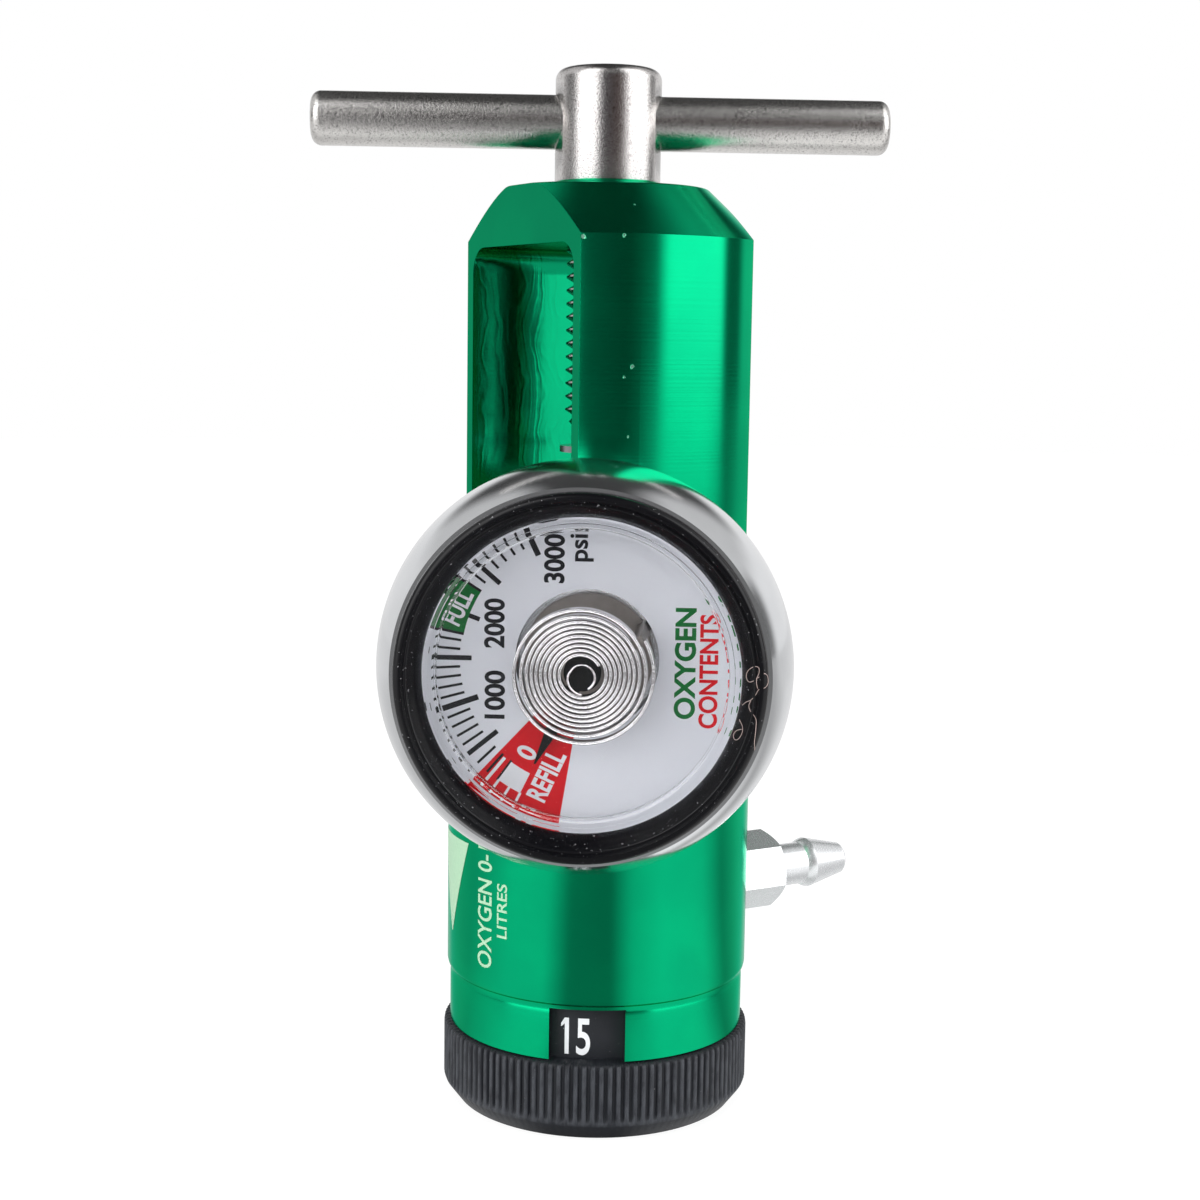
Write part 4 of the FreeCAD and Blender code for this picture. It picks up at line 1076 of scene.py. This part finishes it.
fibre_radius = 0.028
fibre_lines = [
    [(16.82, -2.39), (17.21, -1.91), (17.67, -1.66), (18.16, -0.96), (18.44, -0.27), (19.01, -0.22),
     (19.37, 0.14), (19.38, 0.68), (19.3, 1.1), (18.97, 1.4), (18.41, 0.92), (17.79, 0.32), (17.4, 0.16),
     (17.14, 0.55), (17.2, 1.18), (17.58, 1.72), (18.09, 2.03), (18.43, 1.9), (18.45, 1.36),
     (18.18, 0.76), (18.19, 0.23), (18.32, -0.3)],
    [(17.67, -1.69), (17.45, -2.18), (17.6, -2.73), (18.04, -3.11), (18.28, -3.51), (18.24, -4.35),
     (18.18, -5.19), (18.1, -6.0), (18.2, -6.5), (18.15, -6.7)],
    [(16.56, -3.89), (16.97, -4.53), (16.81, -5.31), (16.42, -5.91), (16.07, -5.97), (15.95, -5.58),
     (16.23, -5.05), (16.8, -4.75)]]
dusty = clouded((0.42, 0.30, 0.27, 1), (0.62, 0.50, 0.47, 1), (3.0, 2.0), 0.7, 0.1)
lint_fibre = finish("lint_fibre", dusty)
for number, spots in enumerate(fibre_lines):
    line = rounded_line([on_bezel(*spot) for spot in spots])
    fibre = thin_wire("lint_%d" % number, line, fibre_radius, gauge_place)
    fibre.data.materials.append(lint_fibre)
    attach(fibre, "regulator")


# Hose barb: turned from hexagonal bar and chrome plated. It is screwed into the body's side over an
# O-ring, beside the orifice plate.
soft_chrome = plated((0.80, 0.81, 0.83, 1), (0.90, 0.91, 0.93, 1), 0.6, 0.20, 0.12, 0.004)
bright = finish("bright_chrome", soft_chrome, Metallic=0.72)
paint_nodes(bright, "chrome_plate", "outlet_barb")


# Yoke screw: satin stainless steel, turned, with a rolled thread and a plain hub. It runs in the top of the
# body, and a retaining washer sits in the groove of its neck.
hub_bottom = 112.5
hub_top = 126.2
hub_radius = 6.35
hub_foot = 0.5
hub_crown = 1.4
neck_radius = 3.95
thread_radius = 4.7625
thread_pitch = 1.5875
thread_low = 83.9
core_radius = 3.80
screw_outline = ([(0, 76.5), (2.6, 76.5), (neck_radius, 78.1), (neck_radius, 80.6), (3.2, 80.6),
                  (3.2, 81.45), (neck_radius, 81.45), (neck_radius, thread_low), (core_radius, thread_low),
                  (core_radius, hub_bottom), (hub_radius - hub_foot, hub_bottom)]
                 + arc((hub_radius - hub_foot, hub_bottom + hub_foot), hub_foot, -90, 0, 5)[1:]
                 + arc((hub_radius - hub_crown, hub_top - hub_crown), hub_crown, 0, 90, 10)
                 + [(0, hub_top)])
screw = piece("yoke_screw", spun(screw_outline, steps=160, closed=False))
bar_angle = math.radians(63.1)
bar_z = hub_bottom + 7.4
bar_out = around(1, bar_angle)
bar_bore = 3.21
cut(screw, [drill("bar_cut", bar_bore, -10, 10, pointing(bar_out, bar_z), 96)])
thread_bm = bmesh.new()
thread_start = thread_low - thread_pitch
profile = [(core_radius, 0.0), (core_radius, 0.10), (thread_radius, 0.70), (thread_radius, 0.90),
           (core_radius, thread_pitch - 0.1), (core_radius, thread_pitch)]
thread_verts = [thread_bm.verts.new((radius, 0, thread_start + height)) for radius, height in profile]
thread_edges = [thread_bm.edges.new(pair) for pair in zip(thread_verts, thread_verts[1:])]
thread_start_height = 0.12
turns = 20
turn_steps = 64
bmesh.ops.spin(thread_bm, geom=thread_verts + thread_edges, cent=(0, 0, 0), axis=(0, 0, 1),
               dvec=(0, 0, thread_pitch / turn_steps), angle=2 * math.pi * turns, steps=turns * turn_steps,
               use_merge=False)
bmesh.ops.remove_doubles(thread_bm, verts=thread_bm.verts, dist=0.002)
for height, keep_above in ((thread_low + 0.02, True), (hub_bottom - 0.01, False)):
    bmesh.ops.bisect_plane(thread_bm, geom=thread_bm.verts[:] + thread_bm.edges[:] + thread_bm.faces[:],
                           dist=0.0001, plane_co=(0, 0, height), plane_no=(0, 0, 1),
                           clear_inner=keep_above, clear_outer=not keep_above)
for vert in thread_bm.verts:
    limit = core_radius + thread_start_height + vert.co.z - thread_low
    radius = math.hypot(vert.co.x, vert.co.y)
    if radius > limit:
        vert.co.x *= limit / radius
        vert.co.y *= limit / radius
closed_up(thread_bm)
thread = piece("screw_thread", thread_bm)


def pitted(dark, pale, pit, patches, pits, deep, rough, depth):
    """Recipe for stainless steel with soft clouds and fine pits, which are darker than the rest."""
    def recipe(here):
        holes = noise(here, *pits)
        clean = noise(here, *patches).mix(dark, pale)
        return {"Base Color": holes.between(*deep).mix(clean, pit), "Roughness": rough + holes * 0.12,
                "Normal": bump(holes, depth)}
    return recipe


tumbled = pitted((0.60, 0.58, 0.57, 1), (0.74, 0.72, 0.71, 1), (0.42, 0.38, 0.38, 1), (0.5, 4.0, 0.6),
                 (4.5, 4.0, 0.7), (0.49, 0.35), 0.09, 0.024)
satin_steel = finish("satin_steel", tumbled, Metallic=1.0)
screw.data.materials.append(satin_steel)
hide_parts("t_screw")
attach(screw, "screw")
thread.data.materials.append(satin_steel)
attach(thread, "screw")


# Cross bar: a stainless rod with rounded ends, duller than the screw, pressed through the hub. It is the
# handle that turns the screw.
bar_length = 69.0
bar_offset = -0.87
bar_round = 1.2
bar_radius = 3.2
bar_low = bar_offset - bar_length / 2
bar_high = bar_offset + bar_length / 2
bar_outline = ([(0, bar_low)] + arc((bar_radius - bar_round, bar_low + bar_round), bar_round, -90, 0, 8)
               + arc((bar_radius - bar_round, bar_high - bar_round), bar_round, 0, 90, 8) + [(0, bar_high)])
bar = piece("cross_bar", spun(bar_outline, steps=96, closed=False), pointing(bar_out, bar_z))
brushed = pitted((0.66, 0.64, 0.62, 1), (0.84, 0.82, 0.80, 1), (0.42, 0.41, 0.40, 1), (0.35, 4.0, 0.6),
                 (3.4, 4.0, 0.75), (0.50, 0.32), 0.17, 0.035)
bar.data.materials.append(finish("dull_steel", brushed, Metallic=1.0))
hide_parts("t_bar")
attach(bar, "screw")


# Print on the body: pale lines that read upwards beside the flow window, and a wedge that widens with
# the flow. They are laid on the anodised skin as thin ink.
mint = clouded((0.30, 0.56, 0.36, 1), (0.52, 0.74, 0.52, 1), (3.0, 4.0, 0.6), 0.42, 0.1)
mint_ink = finish("mint_ink", mint)
print_lift = 0.015


def body_print(name, bm):
    """Makes a bmesh that lies on the skin a printed piece of the body."""
    made = piece(name, bm)
    made.data.materials.append(mint_ink)
    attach(made, "regulator")


for name, text, height, length, angle_deg, low in (("print_gas", "OXYGEN 0-15", 2.5, 16.5, -74.6, 19.5),
                                                   ("print_unit", "LITRES", 1.53, 6.6, -65.85, 23.7)):
    line = lettering(name, text, height, 0.014, length, lift=print_lift, turn_deg=90)
    wrapped(line, body_radius, math.radians(angle_deg), low + length / 2)
    body_print(name, line)
wedge_bm = bmesh.new()
wedge_low = 22.0
wedge_high = 34.0
wedge_middle = math.radians(-100.0)
wedge_half = math.radians(15.1)
wedge_tip = 0.03
bmesh.ops.create_grid(wedge_bm, x_segments=24, y_segments=24, size=1.0)
for vert in wedge_bm.verts:
    share = (vert.co.y + 1) / 2
    width = wedge_half * (share + wedge_tip) / (1 + wedge_tip)
    vert.co = around(body_radius + print_lift, wedge_middle + width * vert.co.x,
                     wedge_low + (wedge_high - wedge_low) * share)
body_print("print_wedge", wedge_bm)
